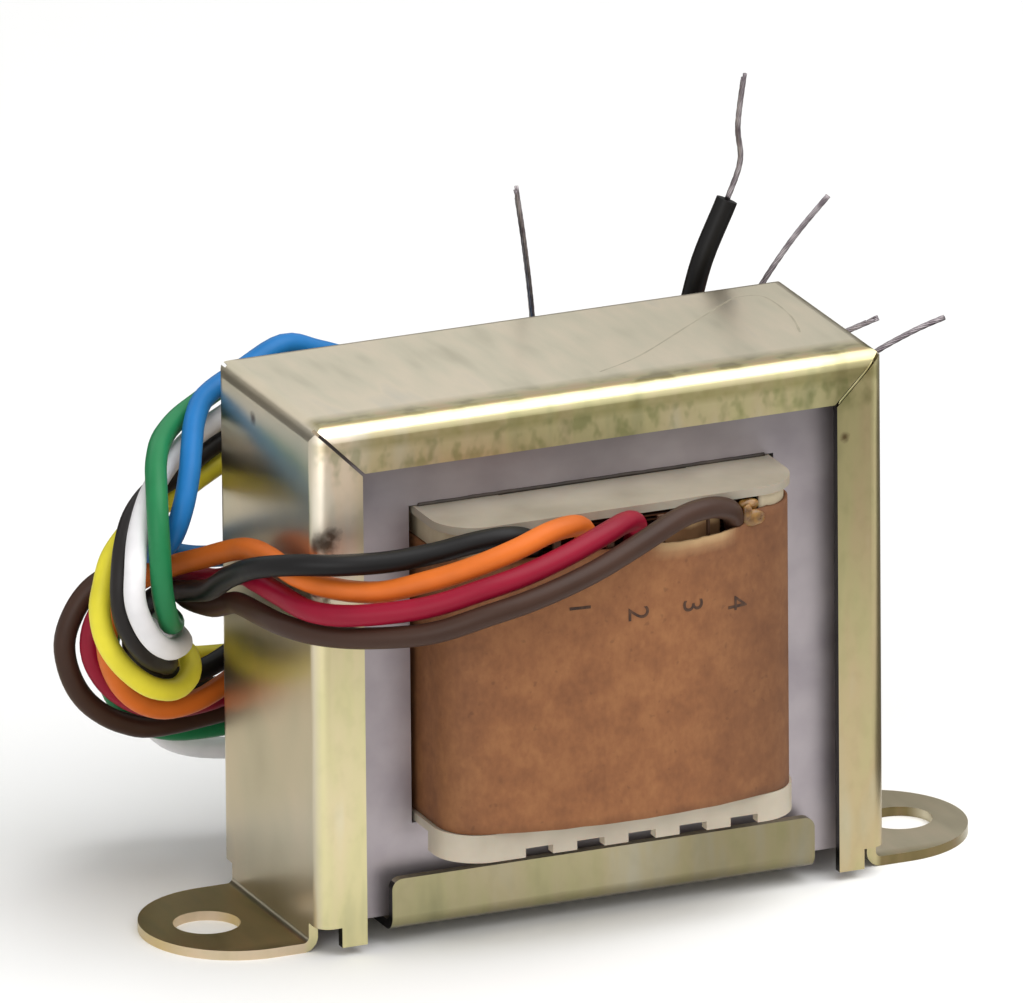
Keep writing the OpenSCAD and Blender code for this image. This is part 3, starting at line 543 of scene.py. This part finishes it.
def flangeFilm(tree, place, z, tone):
    # the flanges' tone with blotches, and the painted olive reflection line under the fold
    look = zincLook
    speck = stretchedNoise(tree, place, look["mottle"])
    mottle = tinted(tree, speck, look["mottleTones"])
    rise = ramp(tree, z, *look["mottleShare"])
    belowFold = overlap(tree, (z, look["mottleEnd"]))
    share = maths(tree, "MULTIPLY", rise, belowFold)
    mottled = blend(tree, share, tone, mottle, "MULTIPLY")
    inReflectionLine = overlap(tree, *[(z, heights) for heights in look["foldReflectionLine"]])
    share = maths(tree, "MULTIPLY", speck, inReflectionLine)
    return blend(tree, share, mottled, linear(look["foldReflectionLineTone"]), "MULTIPLY")


def chromateFilm(tree, place, axes, facing, shadeShare):
    # the film's tone in each area, then panels and flanges by the way they face, then the fold's bloom with
    # its painted darker reflection
    look = zincLook
    x, y, z = axes
    patch = softNoise(tree, place, *look["patch"])
    streak = stretchedNoise(tree, place, look["streak"])
    bloom = addNode(tree, "Mix", {0: look["streakShare"], 2: patch, 3: streak})
    foldBloom = stretchedNoise(tree, place, look["foldPatch"])
    tones = {}
    for part in ("panel", "flange", "fold", *look["panelAreas"], *look["flangeAreas"]):
        stops = [(position, tone, shadeShare) for position, tone in look[part]]
        source = foldBloom if part == "fold" else bloom
        tones[part] = tinted(tree, source, stops)
    for base in ("panel", "flange"):
        for area, (alongX, alongZ) in look[base + "Areas"].items():
            share = overlap(tree, (x, alongX), (z, alongZ))
            tones[base] = blend(tree, share, tones[base], tones[area])
    narrow = maths(tree, "ABSOLUTE", facing["Y"])
    onFlange = overlap(tree, (narrow, look["flangeFacing"]))
    flange = flangeFilm(tree, place, z, tones["flange"])
    film = blend(tree, onFlange, tones["panel"], flange)
    foldShadeShare = overlap(tree, (y, look["foldShadeBand"]), (facing["Z"], look["topFacing"]))
    return blend(tree, foldShadeShare, film, tones["fold"])


def rustAndShadowSpots(tree, place):
    # rust and a scratch mark, and two smudges of painted shadow, all in the rust colour
    look = zincLook
    rag = softNoise(tree, place, *look["ragged"])
    near, far, strength = look["spotEdge"]
    spotted = None
    for *centre, reach in look["spots"]:
        away = addNode(tree, "VectorMath", {"operation": "DISTANCE", 0: place, 1: centre})
        frayed = maths(tree, "MULTIPLY_ADD", rag, reach, away)
        spot = ramp(tree, frayed, near * reach, far * reach, strength, 0)
        spotted = spot if spotted is None else maths(tree, "MAXIMUM", spotted, spot)
    return spotted


def shadedMarkedFilm(tree, place, axes, facing, side, film):
    # raw edges and the inside of the channel in painted shade, painted shade in the ears' inner folds, and
    # rust with painted shadow smudges
    look = zincLook
    fromMiddle = maths(tree, "ABSOLUTE", axes["X"])
    # painted shade: faces that point across, inside the channel and on the raw edges, made near black
    cut = overlap(tree, (fromMiddle, look["cutWithin"]), (side, look["cutFacing"]))
    edgeShaded = blend(tree, cut, film, linear(look["rawEdgeAndShade"]))
    tipped = maths(tree, "SUBTRACT", 1, facing["Z"])
    slope = maths(tree, "MULTIPLY", facing["Z"], tipped)
    inFold = overlap(tree, (axes["Z"], look["earFold"]), (slope, look["earSlope"]))
    foldShaded = darker(tree, edgeShaded, inFold, 0, 1, look["earShade"])
    return blend(tree, rustAndShadowSpots(tree, place), foldShaded, linear(look["rust"]))


def leaningNormal(tree, z, side, normal):
    low, high, lean = zincLook["lean"]
    gentle = {0: z, 1: low, 2: high, 4: lean, "interpolation_type": "SMOOTHSTEP"}
    leaning = addNode(tree, "MapRange", gentle)
    tilt = maths(tree, "MULTIPLY", leaning, side)
    upward = addNode(tree, "CombineXYZ", {"Z": tilt})
    leant = addNode(tree, "VectorMath", {"operation": "ADD", 0: normal, 1: upward})
    return addNode(tree, "VectorMath", {"operation": "NORMALIZE", 0: leant})


def yellowZinc(name, shadeShare):
    look = zincLook
    material, tree, shader, place = newMaterial(name, {"Metallic": 1})
    normal = addNode(tree, "NewGeometry").node.outputs["Normal"]
    facing = axesOf(tree, normal)
    axes = axesOf(tree, place)
    side = maths(tree, "ABSOLUTE", facing["X"])
    film = chromateFilm(tree, place, axes, facing, shadeShare)
    colour = shadedMarkedFilm(tree, place, axes, facing, side, film)
    grain = softNoise(tree, place, *look["grain"])
    gloss = ramp(tree, grain, 0, 1, *look["gloss"])
    wave = softNoise(tree, place, *look["wave"])
    leant = leaningNormal(tree, axes["Z"], side, normal)
    sheet = bumped(tree, wave, *look["waveBump"], Normal=leant)
    fine = bumped(tree, grain, *look["grainBump"], Normal=sheet)
    feed(tree, shader, {"Base Color": colour, "Roughness": gloss, "Normal": fine})
    return material


# Silicon steel sheets, cold rolled with a thin oxide: grey with a lilac cast, fine lines where edges show,
# and painted shade under the top of the frame
steelLook = {
    "tones": [(0.3, "a0989d"), (0.7, "bdb5b8")],
    "cloud": (7, 4),
    "gloss": (0.38, 0.5),
    "sheet": 0.5,  # thickness
    "joint": (0.03, 0.12),  # shares of a sheet where the line between two fades
    "jointShade": 0.35,
    "topShade": (34.5, 38.5, 0.7),  # painted shade under the top of the frame: from, to, by
    "bump": (0.6, 0.05),
    "plain": {"Metallic": 0.85},
}


def siliconSteel():
    look = steelLook
    material, tree, shader, place, tone = cloudedFinish("silicon_steel_sheets", look)
    axes = axesOf(tree, place)
    count = maths(tree, "MULTIPLY", axes["Y"], 1 / look["sheet"])
    within = maths(tree, "PINGPONG", count, 0.5)
    clear = overlap(tree, (within, look["joint"]))
    normal = addNode(tree, "NewGeometry").node.outputs["True Normal"]
    facing = axesOf(tree, normal)
    front = maths(tree, "ABSOLUTE", facing["Y"])
    plain = maths(tree, "MAXIMUM", front, clear)
    lined = darker(tree, tone, plain, 1, 0, look["jointShade"])
    bump = bumped(tree, plain, *look["bump"])
    feed(tree, shader, {"Base Color": darker(tree, lined, axes["Z"], *look["topShade"]), "Normal": bump})
    return material


# Nylon, injection moulded, uncoloured: warm off-white, a little waxy, light passing into its edges,
# darker towards the top
nylonLook = {
    "tones": [(0.3, "aa9f8c"), (0.7, "c6bba8")],
    "cloud": (6, 3),
    "upperDarkening": (14, 35, 0.74),  # darker towards the top: from, to, by
    "grain": (0.3, 2),
    "bump": (0.2, 0.02),
    "plain": {"Roughness": 0.42, "IOR": 1.53, "Subsurface Weight": 0.15, "Subsurface Scale": 0.6 * mm},
}


def mouldedNylon():
    look = nylonLook
    material, tree, shader, place, tone = cloudedFinish("moulded_nylon", look)
    height = axesOf(tree, place)["Z"]
    grain = softNoise(tree, place, *look["grain"])
    bump = bumped(tree, grain, *look["bump"])
    feed(tree, shader, {"Base Color": darker(tree, tone, height, *look["upperDarkening"]), "Normal": bump})
    return material


# Kraft insulating paper, calendered: brown, clouded with fibre, matt, paler where it is torn
kraftLook = {
    "tones": [(0.25, "704427"), (0.5, "885733"), (0.75, "9d6a40")],
    "cloud": (3.2, 5, 0.6),
    "fibre": (0.5, 0.5, 0.8),
    "fibreShare": 0.3,
    "fleck": (0.7, 1),
    "fleckShade": (0.71, 0.78, 0.8),  # noise from and to, by
    "sides": [(-11, -15.2, 0.8), (4, 13, 0.66)],  # painted shade towards both sides: from, to, by
    "torn": "c9a678",
    "bump": (0.35, 0.06),
    "plain": {"Roughness": 0.72, "IOR": 1.45},
}


def kraftPaper():
    look = kraftLook
    material, tree, shader, place = newMaterial("kraft_paper", look["plain"])
    cloud = softNoise(tree, place, *look["cloud"])
    fibre = stretchedNoise(tree, place, look["fibre"], 3)
    mixed = addNode(tree, "Mix", {0: look["fibreShare"], 2: cloud, 3: fibre})
    tone = tinted(tree, mixed, look["tones"])
    fleck = softNoise(tree, place, *look["fleck"])
    tone = darker(tree, tone, fleck, *look["fleckShade"])
    across = axesOf(tree, place)["X"]
    for side in look["sides"]:
        tone = darker(tree, tone, across, *side)
    torn = addNode(tree, "Attribute", {"attribute_name": "torn"}).node.outputs["Fac"]
    colour = blend(tree, torn, tone, linear(look["torn"]))
    bump = bumped(tree, mixed, *look["bump"])
    feed(tree, shader, {"Base Color": colour, "Normal": bump})
    return material


# Cream insulation paper: pale, matt, with a faint crepe
creamLook = {
    "tones": [(0.3, "ab9c80"), (0.7, "c4b79c")],
    "cloud": (3, 4),
    "slotDarkening": "4a2f1c",  # dark brown round the lead slots
    "slotDarkeningAbove": (32.2, 33.4),  # heights
    "slotDarkeningWithin": (12, 11.3),  # distances from the middle
    "crepe": (0.5, 0.5, 3),
    "bump": (0.4, 0.05),
    "plain": {"Roughness": 0.7, "IOR": 1.45},
}


def creamPaper():
    look = creamLook
    material, tree, shader, place, tone = cloudedFinish("cream_crepe_paper", look)
    axes = axesOf(tree, place)
    fromMiddle = maths(tree, "ABSOLUTE", axes["X"])
    slotDarkening = overlap(tree, (axes["Z"], look["slotDarkeningAbove"]), (fromMiddle, look["slotDarkeningWithin"]))
    colour = blend(tree, slotDarkening, tone, linear(look["slotDarkening"]))
    crepe = stretchedNoise(tree, place, look["crepe"])
    bump = bumped(tree, crepe, *look["bump"])
    feed(tree, shader, {"Base Color": colour, "Normal": bump})
    return material


# Enamelled copper wire, wound in layers: glossy red-brown with a ridge for each turn, darkened overall as
# painted shade of its recess
copperLook = {
    "tones": [(0.05, "2a150c"), (0.35, "5f3820")],  # painted shade in the gap between turns, and the crest
    "turn": 0.35,  # coarser than the wire, so that the turns show
    "bump": (0.8, 0.1),
    "plain": {"Metallic": 0.8, "Roughness": 0.28},
}


def enamelledCopper():
    look = copperLook
    material, tree, shader, place = newMaterial("enamelled_copper_wire", look["plain"])
    height = axesOf(tree, place)["Z"]
    count = maths(tree, "MULTIPLY", height, 1 / look["turn"])
    ridge = maths(tree, "PINGPONG", count, 0.5)
    tone = tinted(tree, ridge, look["tones"])
    bump = bumped(tree, ridge, *look["bump"])
    feed(tree, shader, {"Base Color": tone, "Normal": bump})
    return material


def dress(material, *nodeNames):
    for nodeName in nodeNames:
        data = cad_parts[nodeName].data
        data.materials.clear()
        data.materials.append(material)


kraft = kraftPaper()
zinc = yellowZinc("yellow_chromate_zinc", 1)
dress(zinc, "channel_frame")
# the keeper: the same film at a share of its light, as painted shade under the coil's overhang
dress(yellowZinc("yellow_chromate_zinc_shaded", 0.55), "bottom_keeper")
dress(siliconSteel(), "e_laminations", "i_laminations")
dress(mouldedNylon(), "coil_former")
dress(creamPaper(), "outer_insulation", "interlayer_insulation")
dress(enamelledCopper(), "primary_winding", "secondary_winding")
dress(tinned, "front_solder_joints", "rear_solder_joints")
print("frame dressed")


# Cover paper: one turn round the coil, bowed at the front and the back, with a lifted, torn upper edge
paperWrap = {
    "halfWidth": 15.3,
    "crown": 17.2,
    "rowEnd": 10.1,  # the outermost lead, where the bow has dropped
    "drop": 1.15,
    "corner": 3.5,
    "thickness": 0.3,
    "bottom": 10.55,
    "top": 33.9,
    "bowSteps": 40,
    "cornerSteps": 8,
    "rows": 30,
    "lift": (1, 9.4),  # the lifted edge beside the brown lead, along x
    "liftOut": 0.7,
    "liftRows": 0.86,  # share of the height where the lift begins
    "rise": (9.6, 11.2, 1.1),  # the edge climbs at the right, from, to, by
    "ragged": 0.14,
    "wander": [(0.9, 3, 1), (3.1, 7, 0.5)],  # of the upper edge: noise to a mm, seed, share
    "lowWander": (0.5, 11, 0.4),
    "tornReach": 1.6,
    "tornRows": (0.955, 0.99),  # shares of the height where the pale torn edge begins and is full
}


def bowRadius():
    return (paperWrap["rowEnd"] ** 2 + paperWrap["drop"] ** 2) / (2 * paperWrap["drop"])


def wrapQuarter(inset):
    # from the middle of the bow round the corner to the middle of the side, both ways positive
    wrap = paperWrap
    radius = bowRadius()
    cornerX = wrap["halfWidth"] - wrap["corner"]
    reach = radius - wrap["corner"]
    cornerY = wrap["crown"] - radius + math.sqrt(reach ** 2 - cornerX ** 2)
    bend = math.asin(cornerX / reach)
    outline = []
    for i in range(wrap["bowSteps"] + 1):
        turn = bend * i / wrap["bowSteps"]
        bow = radius - inset
        outline.append((bow * math.sin(turn), wrap["crown"] - radius + bow * math.cos(turn)))
    for i in range(1, wrap["cornerSteps"] + 1):
        turn = bend + (math.pi / 2 - bend) * i / wrap["cornerSteps"]
        size = wrap["corner"] - inset
        outline.append((cornerX + size * math.sin(turn), cornerY + size * math.cos(turn)))
    outline.append((wrap["halfWidth"] - inset, 0))
    return outline


def wrapLoop(inset):
    # the whole outline, from the middle of the front towards +x and round
    quarter = wrapQuarter(inset)
    right = [(x, -y) for x, y in quarter] + [(x, y) for x, y in reversed(quarter[:-1])]
    left = [(-x, y) for x, y in reversed(right[1:-1])]
    return right + left


def bowFront(x):
    # y of the paper's front at that x
    radius = bowRadius()
    return -(paperWrap["crown"] - radius + math.sqrt(radius ** 2 - x ** 2))


def smoothStep(low, high, value):
    t = min(1, max(0, (value - low) / (high - low)))
    return t * t * (3 - 2 * t)


def sheetFaces(across, rows, closed):
    # two sides of a sheet, each with rows of points from the bottom up, and the rim between them
    width = across if closed else across + 1
    side, top = (rows + 1) * width, rows * width
    faces, rim = [], []
    for k in range(across):
        after = (k + 1) % width
        rim += [(k, after), (top + after, top + k)]
        for i in range(rows):
            a, b = i * width + k, i * width + after
            faces.append((a, b, b + width, a + width))
            faces.append((side + b, side + a, side + a + width, side + b + width))
    if not closed:
        for a in range(0, top, width):
            rim += [(a + across, a + across + width), (a + width, a)]
    return faces + [(a, side + a, side + b, b) for a, b in rim]


def addPaper(name, points, faces, torn):
    mesh = meshOf(name, points, faces)
    mesh.attributes.new("torn", "FLOAT", "POINT").data.foreach_set("value", torn)
    return addPiece(name, mesh, kraft)


def coverPoint(x, y, share):
    # a point of the sheet at that share of its height, and how torn it is there
    wrap = paperWrap
    wander = sum(part * noise.noise((x * fine, y * fine, seed)) for fine, seed, part in wrap["wander"])
    fine, seed, part = wrap["lowWander"]
    low = wrap["bottom"] + wrap["ragged"] * part * (1 + noise.noise((x * fine, y * fine, seed)))
    high = wrap["top"] + wrap["ragged"] * wander
    lift = 0
    if y < 0:
        begin, end, climb = wrap["rise"]
        high += climb * smoothStep(begin, end, x)
        left, right = wrap["lift"]
        lift = max(0, 1 - ((x - (left + right) / 2) / ((right - left) / 2)) ** 2)
    curl = lift * smoothStep(wrap["liftRows"], 1, share)
    torn = min(1, lift * wrap["tornReach"]) * smoothStep(*wrap["tornRows"], share)
    return (x, y - wrap["liftOut"] * curl, low + (high - low) * share), torn


def makePaper():
    rows = paperWrap["rows"]
    loops = [wrapLoop(0), wrapLoop(paperWrap["thickness"])]
    sheet = [coverPoint(x, y, i / rows) for loop in loops for i in range(rows + 1) for x, y in loop]
    faces = sheetFaces(len(loops[0]), rows, True)
    return addPaper("kraft_cover", [point for point, torn in sheet], faces, [torn for point, torn in sheet])


# Inner turn of the wrap, seen through the lifted edge
innerPaper = {
    "along": (2.7, 8.4),
    "behind": 1.5,
    "thickness": 0.2,
    "bottom": 31.5,
    "top": 34.7,
    "columns": 36,
    "rows": 10,
    "edge": [(0.8, 4, 0.35), (4, 9, 0.12)],  # noise to a mm, seed, height
    "crease": (0.9, 0.3, 2, 0.15),  # noise to a mm and to a row, seed, depth
    "torn": (0.25, 0.75),  # paleness of the sheet and of its edge
}


def makeInnerPaper():
    sheet = innerPaper
    columns, rows = sheet["columns"], sheet["rows"]
    left, right = sheet["along"]
    along, upward, seed, depth = sheet["crease"]
    pale, paler = sheet["torn"]
    points, torn = [], []
    for back in (0, sheet["thickness"]):
        for i in range(rows + 1):
            for k in range(columns + 1):
                x = left + (right - left) * k / columns
                waves = [part * noise.noise((x * fine, start, 0)) for fine, start, part in sheet["edge"]]
                crease = depth * noise.noise((x * along, i * upward, seed))
                z = sheet["bottom"] + (sheet["top"] + sum(waves) - sheet["bottom"]) * i / rows
                points.append((x, bowFront(x) + sheet["behind"] + back + crease, z))
                torn.append(paler if i >= rows - 1 else pale)
    return addPaper("kraft_inner", points, sheetFaces(columns, rows, False), torn)


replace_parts(makePaper(), "cover_paper")
makeInnerPaper()
print("paper wrapped")


# Stamping ink: matt, dark brown on the paper, a little worn
inkLook = {
    "tones": [(0.3, "5b3d29"), (0.6, "38261c")],
    "cloud": (0.7, 3),
    "plain": {"Roughness": 0.8, "IOR": 1.45},
}

# Tap numbers: plain figures stamped below the front leads, read from the right
tapNumbers = {
    "size": 2.6,
    "places": [(-4.9, 29.3), (0.1, 28.2), (5, 28.1), (9.2, 27.5)],
    "clear": 0.03,
}


def makeNumbers():
    points, faces = [], []
    for i, (x, z) in enumerate(tapNumbers["places"]):
        text = bpy.data.curves.new("figure", "FONT")
        text.body = str(i + 1)
        text.size = tapNumbers["size"]
        text.align_x = "CENTER"
        text.align_y = "CENTER"
        figure = bpy.data.objects.new("figure", text)
        mesh = bpy.data.meshes.new_from_object(figure)
        base = len(points)
        for vertex in mesh.vertices:
            u, v, _ = vertex.co
            points.append((x + v, bowFront(x + v) - tapNumbers["clear"], z - u))
        faces += [[base + k for k in polygon.vertices] for polygon in mesh.polygons]
        bpy.data.objects.remove(figure)
        bpy.data.curves.remove(text)
        bpy.data.meshes.remove(mesh)
    ink = cloudedFinish("stamp_ink", inkLook)[0]
    return addPiece("tap_numbers", meshOf("tap_numbers", points, faces, False), ink)


makeNumbers()
print("numbers stamped")


# Painted shadow: a dark amber-brown bead standing for the shade in a joint
shadowBeadLook = {
    "tones": [(0.3, "241d18"), (0.7, "40352c")],
    "cloud": (1.5, 3),
    "plain": {"Roughness": 0.6, "IOR": 1.5},
}

# Shadow line: a thin dark bead where the upper flange of the former meets the core, a painted shadow of the
# joint
shadowBead = {
    "halfLength": 15.2,
    "radius": 0.18,
    "above": 0.08,
    "step": 0.6,
    "wander": 0.05,
    "seed": 5,
    "sides": 10,
}


def makeShadowBead():
    bead = shadowBead
    coreLow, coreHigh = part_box("e_laminations")
    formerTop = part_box("coil_former")[1][2] / mm + bead["above"]
    count = round(2 * bead["halfLength"] / bead["step"])
    lines = []
    for face in (coreLow[1] / mm, coreHigh[1] / mm):
        line = []
        for i in range(count + 1):
            x = -bead["halfLength"] + 2 * bead["halfLength"] * i / count
            z = formerTop + bead["wander"] * noise.noise((x, face, bead["seed"]))
            line.append(Vector((x, face, z)))
        lines.append(line)
    points, faces = tubeMesh(lines, bead["radius"], bead["sides"])
    shadowFinish = cloudedFinish("painted_shadow_bead", shadowBeadLook)[0]
    return addPiece("painted_shadow_line", meshOf("painted_shadow_line", points, faces), shadowFinish)


# Animal glue, brushed on and dried: amber, half clear, glossy at its thick middle
glueLook = {
    "tones": [(0.35, "5e3d1a"), (0.65, "9c7438")],
    "cloud": (0.8, 3),
    "gloss": (0.2, 0.4),
    "plain": {"IOR": 1.52, "Subsurface Weight": 0.3, "Subsurface Scale": 0.5 * mm},
}

# Glue: runs at the right end of the torn paper edge
glueDrops = {
    "drops": [  # centre and radii
        ((10.9, -15.9, 34.4), (1, 0.35, 0.7)), ((10.3, -16, 34.9), (0.45, 0.3, 0.75)),
        ((10.7, -15.3, 35.4), (0.9, 0.5, 0.5))],
    "rings": 16,
    "sides": 24,
    "uneven": 0.18,
    "lumps": 1.7,  # noise to a radius
}


def swollen(centre, radii, tip, turn):
    # a point of the drop's skin in that direction
    ray = Vector((math.sin(tip) * math.cos(turn), math.sin(tip) * math.sin(turn), math.cos(tip)))
    swell = 1 + glueDrops["uneven"] * noise.noise(ray * glueDrops["lumps"] + Vector(centre))
    return [c + r * d * swell for c, r, d in zip(centre, radii, ray)]


def makeGlue():
    points, faces = [], []
    rings, sides = glueDrops["rings"], glueDrops["sides"]
    for drop in glueDrops["drops"]:
        base = len(points)
        for i in range(1, rings):
            points += [swollen(*drop, math.pi * i / rings, 2 * math.pi * k / sides) for k in range(sides)]
        crown = len(points)
        points += [swollen(*drop, 0, 0), swollen(*drop, math.pi, 0)]
        last = base + (rings - 2) * sides
        for k in range(sides):
            after = (k + 1) % sides
            faces.append((crown, base + k, base + after))
            faces.append((crown + 1, last + after, last + k))
            for i in range(rings - 2):
                a, b = base + i * sides + k, base + i * sides + after
                faces.append((a, a + sides, b + sides, b))
    glue = cloudedFinish("dried_glue", glueLook)[0]
    return addPiece("glue_runs", meshOf("glue_runs", points, faces), glue)


# Scuffed plating: the film rubbed thin along a line, a shade darker and duller than the panel
scuffLook = {
    "tones": [(0.35, "b0a790"), (0.65, "c6bda6")],
    "cloud": (2, 3),
    "gloss": (0.4, 0.5),
    "plain": {"Metallic": 1},
}

# Faint scuff that curves over the top panel
topScuff = {
    "route": [
        (1.8, -6), (6.3, -3.6), (13.1, 1.9), (18, 5.9), (19.7, 6.8), (21.5, 5.9), (21.5, 0.8), (20.5, -3.5)],
    "width": 0.28,
    "uneven": (0.6, 0.4),  # mean share of the width, and what the noise adds
    "unevenStep": 0.4,
    "clear": 0.006,
    "steps": 8,
}


def makeScuff():
    scuff = topScuff
    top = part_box("channel_frame")[1][2] / mm + scuff["clear"]
    line = smoothLine([Vector((x, y, top)) for x, y in scuff["route"]], scuff["steps"])
    mean, extra = scuff["uneven"]
    points, faces = [], []
    for i, middle in enumerate(line):
        travel = line[min(i + 1, len(line) - 1)] - line[max(i - 1, 0)]
        aside = Vector((-travel.y, travel.x, 0)).normalized()
        half = scuff["width"] / 2 * (mean + extra * noise.noise((i * scuff["unevenStep"], 0, 0)))
        points += [middle - aside * half, middle + aside * half]
        if i:
            faces.append((2 * i - 2, 2 * i, 2 * i + 1, 2 * i - 1))
    rubbed = cloudedFinish("scuffed_zinc", scuffLook)[0]
    return addPiece("top_scuff", meshOf("top_scuff", points, faces, False), rubbed)


# Right mitre at the front: the side flange stands a hair proud there, so its edge catches the light
mitreEdge = {
    "halfWidth": 25,  # of the frame
    "span": (4.1, 0.9),  # from the inner corner towards the outer one, as distances below the top
    "bend": 2.1,  # outer radius of the folds
    "inset": 0.04,
    "radius": 0.1,
    "steps": 12,
    "sides": 10,
}


def makeMitre():
    edge = mitreEdge
    low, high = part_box("channel_frame")
    front, top = low[1] / mm, high[2] / mm
    line = []
    for i in range(edge["steps"] + 1):
        below = edge["span"][0] + (edge["span"][1] - edge["span"][0]) * i / edge["steps"]
        rounding = max(0, edge["bend"] - below)
        back = edge["bend"] - math.sqrt(edge["bend"] ** 2 - rounding ** 2) + edge["inset"]
        line.append(Vector((edge["halfWidth"] - below, front + back, top - below)))
    points, faces = tubeMesh([line], edge["radius"], edge["sides"])
    return addPiece("mitre_edge", meshOf("mitre_edge", points, faces), zinc)


makeMitre()
makeShadowBead()
makeGlue()
makeScuff()
print("small marks made")


# Stage: seamless white paper, a broad soft light above, and glowing cards round it that only reflections
# see, painted reflections in the metal
stageSet = {
    "floor": "fdfdfc",
    "floorSize": 6000,
    "world": 0.38,
    "background": 1.0,
    "lampAim": (0, 0, 20),
    "overhead": {"at": (280, -280, 820), "size": 1000, "power": 8.8},
    "fill": {"at": (-700, -700, 420), "size": 700, "power": 3.2},
    "cards": {  # two corners and the glow that the metal mirrors, a painted reflection
        "low_card": ((-60, 150, 1), (60, 150, 44), "1f1d18"),
        "left_card": ((-150, 150, 22), (-60, 150, 112), "1b1810"),
        "right_back_card": ((66, 150, 1), (170, 150, 88), "2a2620"),
        "ear_card": ((-45, 80, 1), (38, 80, 60), "332a06"),
        "right_ear_card": ((34, 30, 2), (62, 30, 20), "928c80"),
        "right_card": ((40, -30, 1), (260, 130, 1), "55524c"),
        "front_card": ((-90, -320, 1), (220, -78, 1), "a6a197"),
        "left_floor_card": ((-95, 22, 1), (-30, 95, 1), "d6cfbe"),
    },
}


def flatSheet(name, corners, material):
    sheet = bpy.data.objects.new(name, meshOf(name, corners, [(0, 1, 2, 3)], False))
    scene.collection.objects.link(sheet)
    sheet.data.materials.append(material)
    return sheet


def makeFloor():
    half = stageSet["floorSize"] / 2
    corners = [(-half, -half, 0), (half, -half, 0), (half, half, 0), (-half, half, 0)]
    paper = newMaterial("seamless_paper", {"Roughness": 0.9, "Base Color": linear(stageSet["floor"])})[0]
    floor = flatSheet("floor", corners, paper)


def makeCards():
    # glowing sheet of an even shade, upright or flat, that only reflections see: a painted reflection, no
    # lamp
    for name, ((left, near, low), (right, far, high), shade) in stageSet["cards"].items():
        corners = [(left, near, low), (right, near, low), (right, far, high), (left, far, high)]
        plain = {
            "Roughness": 1, "Base Color": (0, 0, 0, 1),
            "Emission Color": linear(shade), "Emission Strength": 1}
        card = flatSheet(name, corners, newMaterial("glow_" + name, plain)[0])
        card.visible_camera = False
        card.visible_diffuse = False
        card.visible_shadow = False
        card.visible_transmission = False


def makeLamp(name):
    lamp = stageSet[name]
    light = bpy.data.lights.new(name, "AREA")
    light.size = lamp["size"] * mm
    light.energy = lamp["power"]
    lampObject = bpy.data.objects.new(name, light)
    scene.collection.objects.link(lampObject)
    lampObject.location = Vector(lamp["at"]) * mm
    towards = Vector(stageSet["lampAim"]) * mm - lampObject.location
    lampObject.rotation_euler = towards.to_track_quat("-Z", "Y").to_euler()


def makeWorld():
    # plain soft light; the camera and mirrors see white
    world = bpy.data.worlds.new("studio")
    scene.world = world
    world.use_nodes = True
    tree = world.node_tree
    path = addNode(tree, "LightPath").node.outputs
    seen = path["Is Camera Ray"]
    for ray in ("Is Glossy Ray", "Is Transmission Ray"):
        seen = maths(tree, "MAXIMUM", seen, path[ray])
    strength = ramp(tree, seen, 0, 1, stageSet["world"], stageSet["background"])
    feed(tree, tree.nodes["Background"], {"Color": (1, 1, 1, 1), "Strength": strength})


makeFloor()
makeCards()
makeLamp("overhead")
makeLamp("fill")
makeWorld()
print("stage lit")
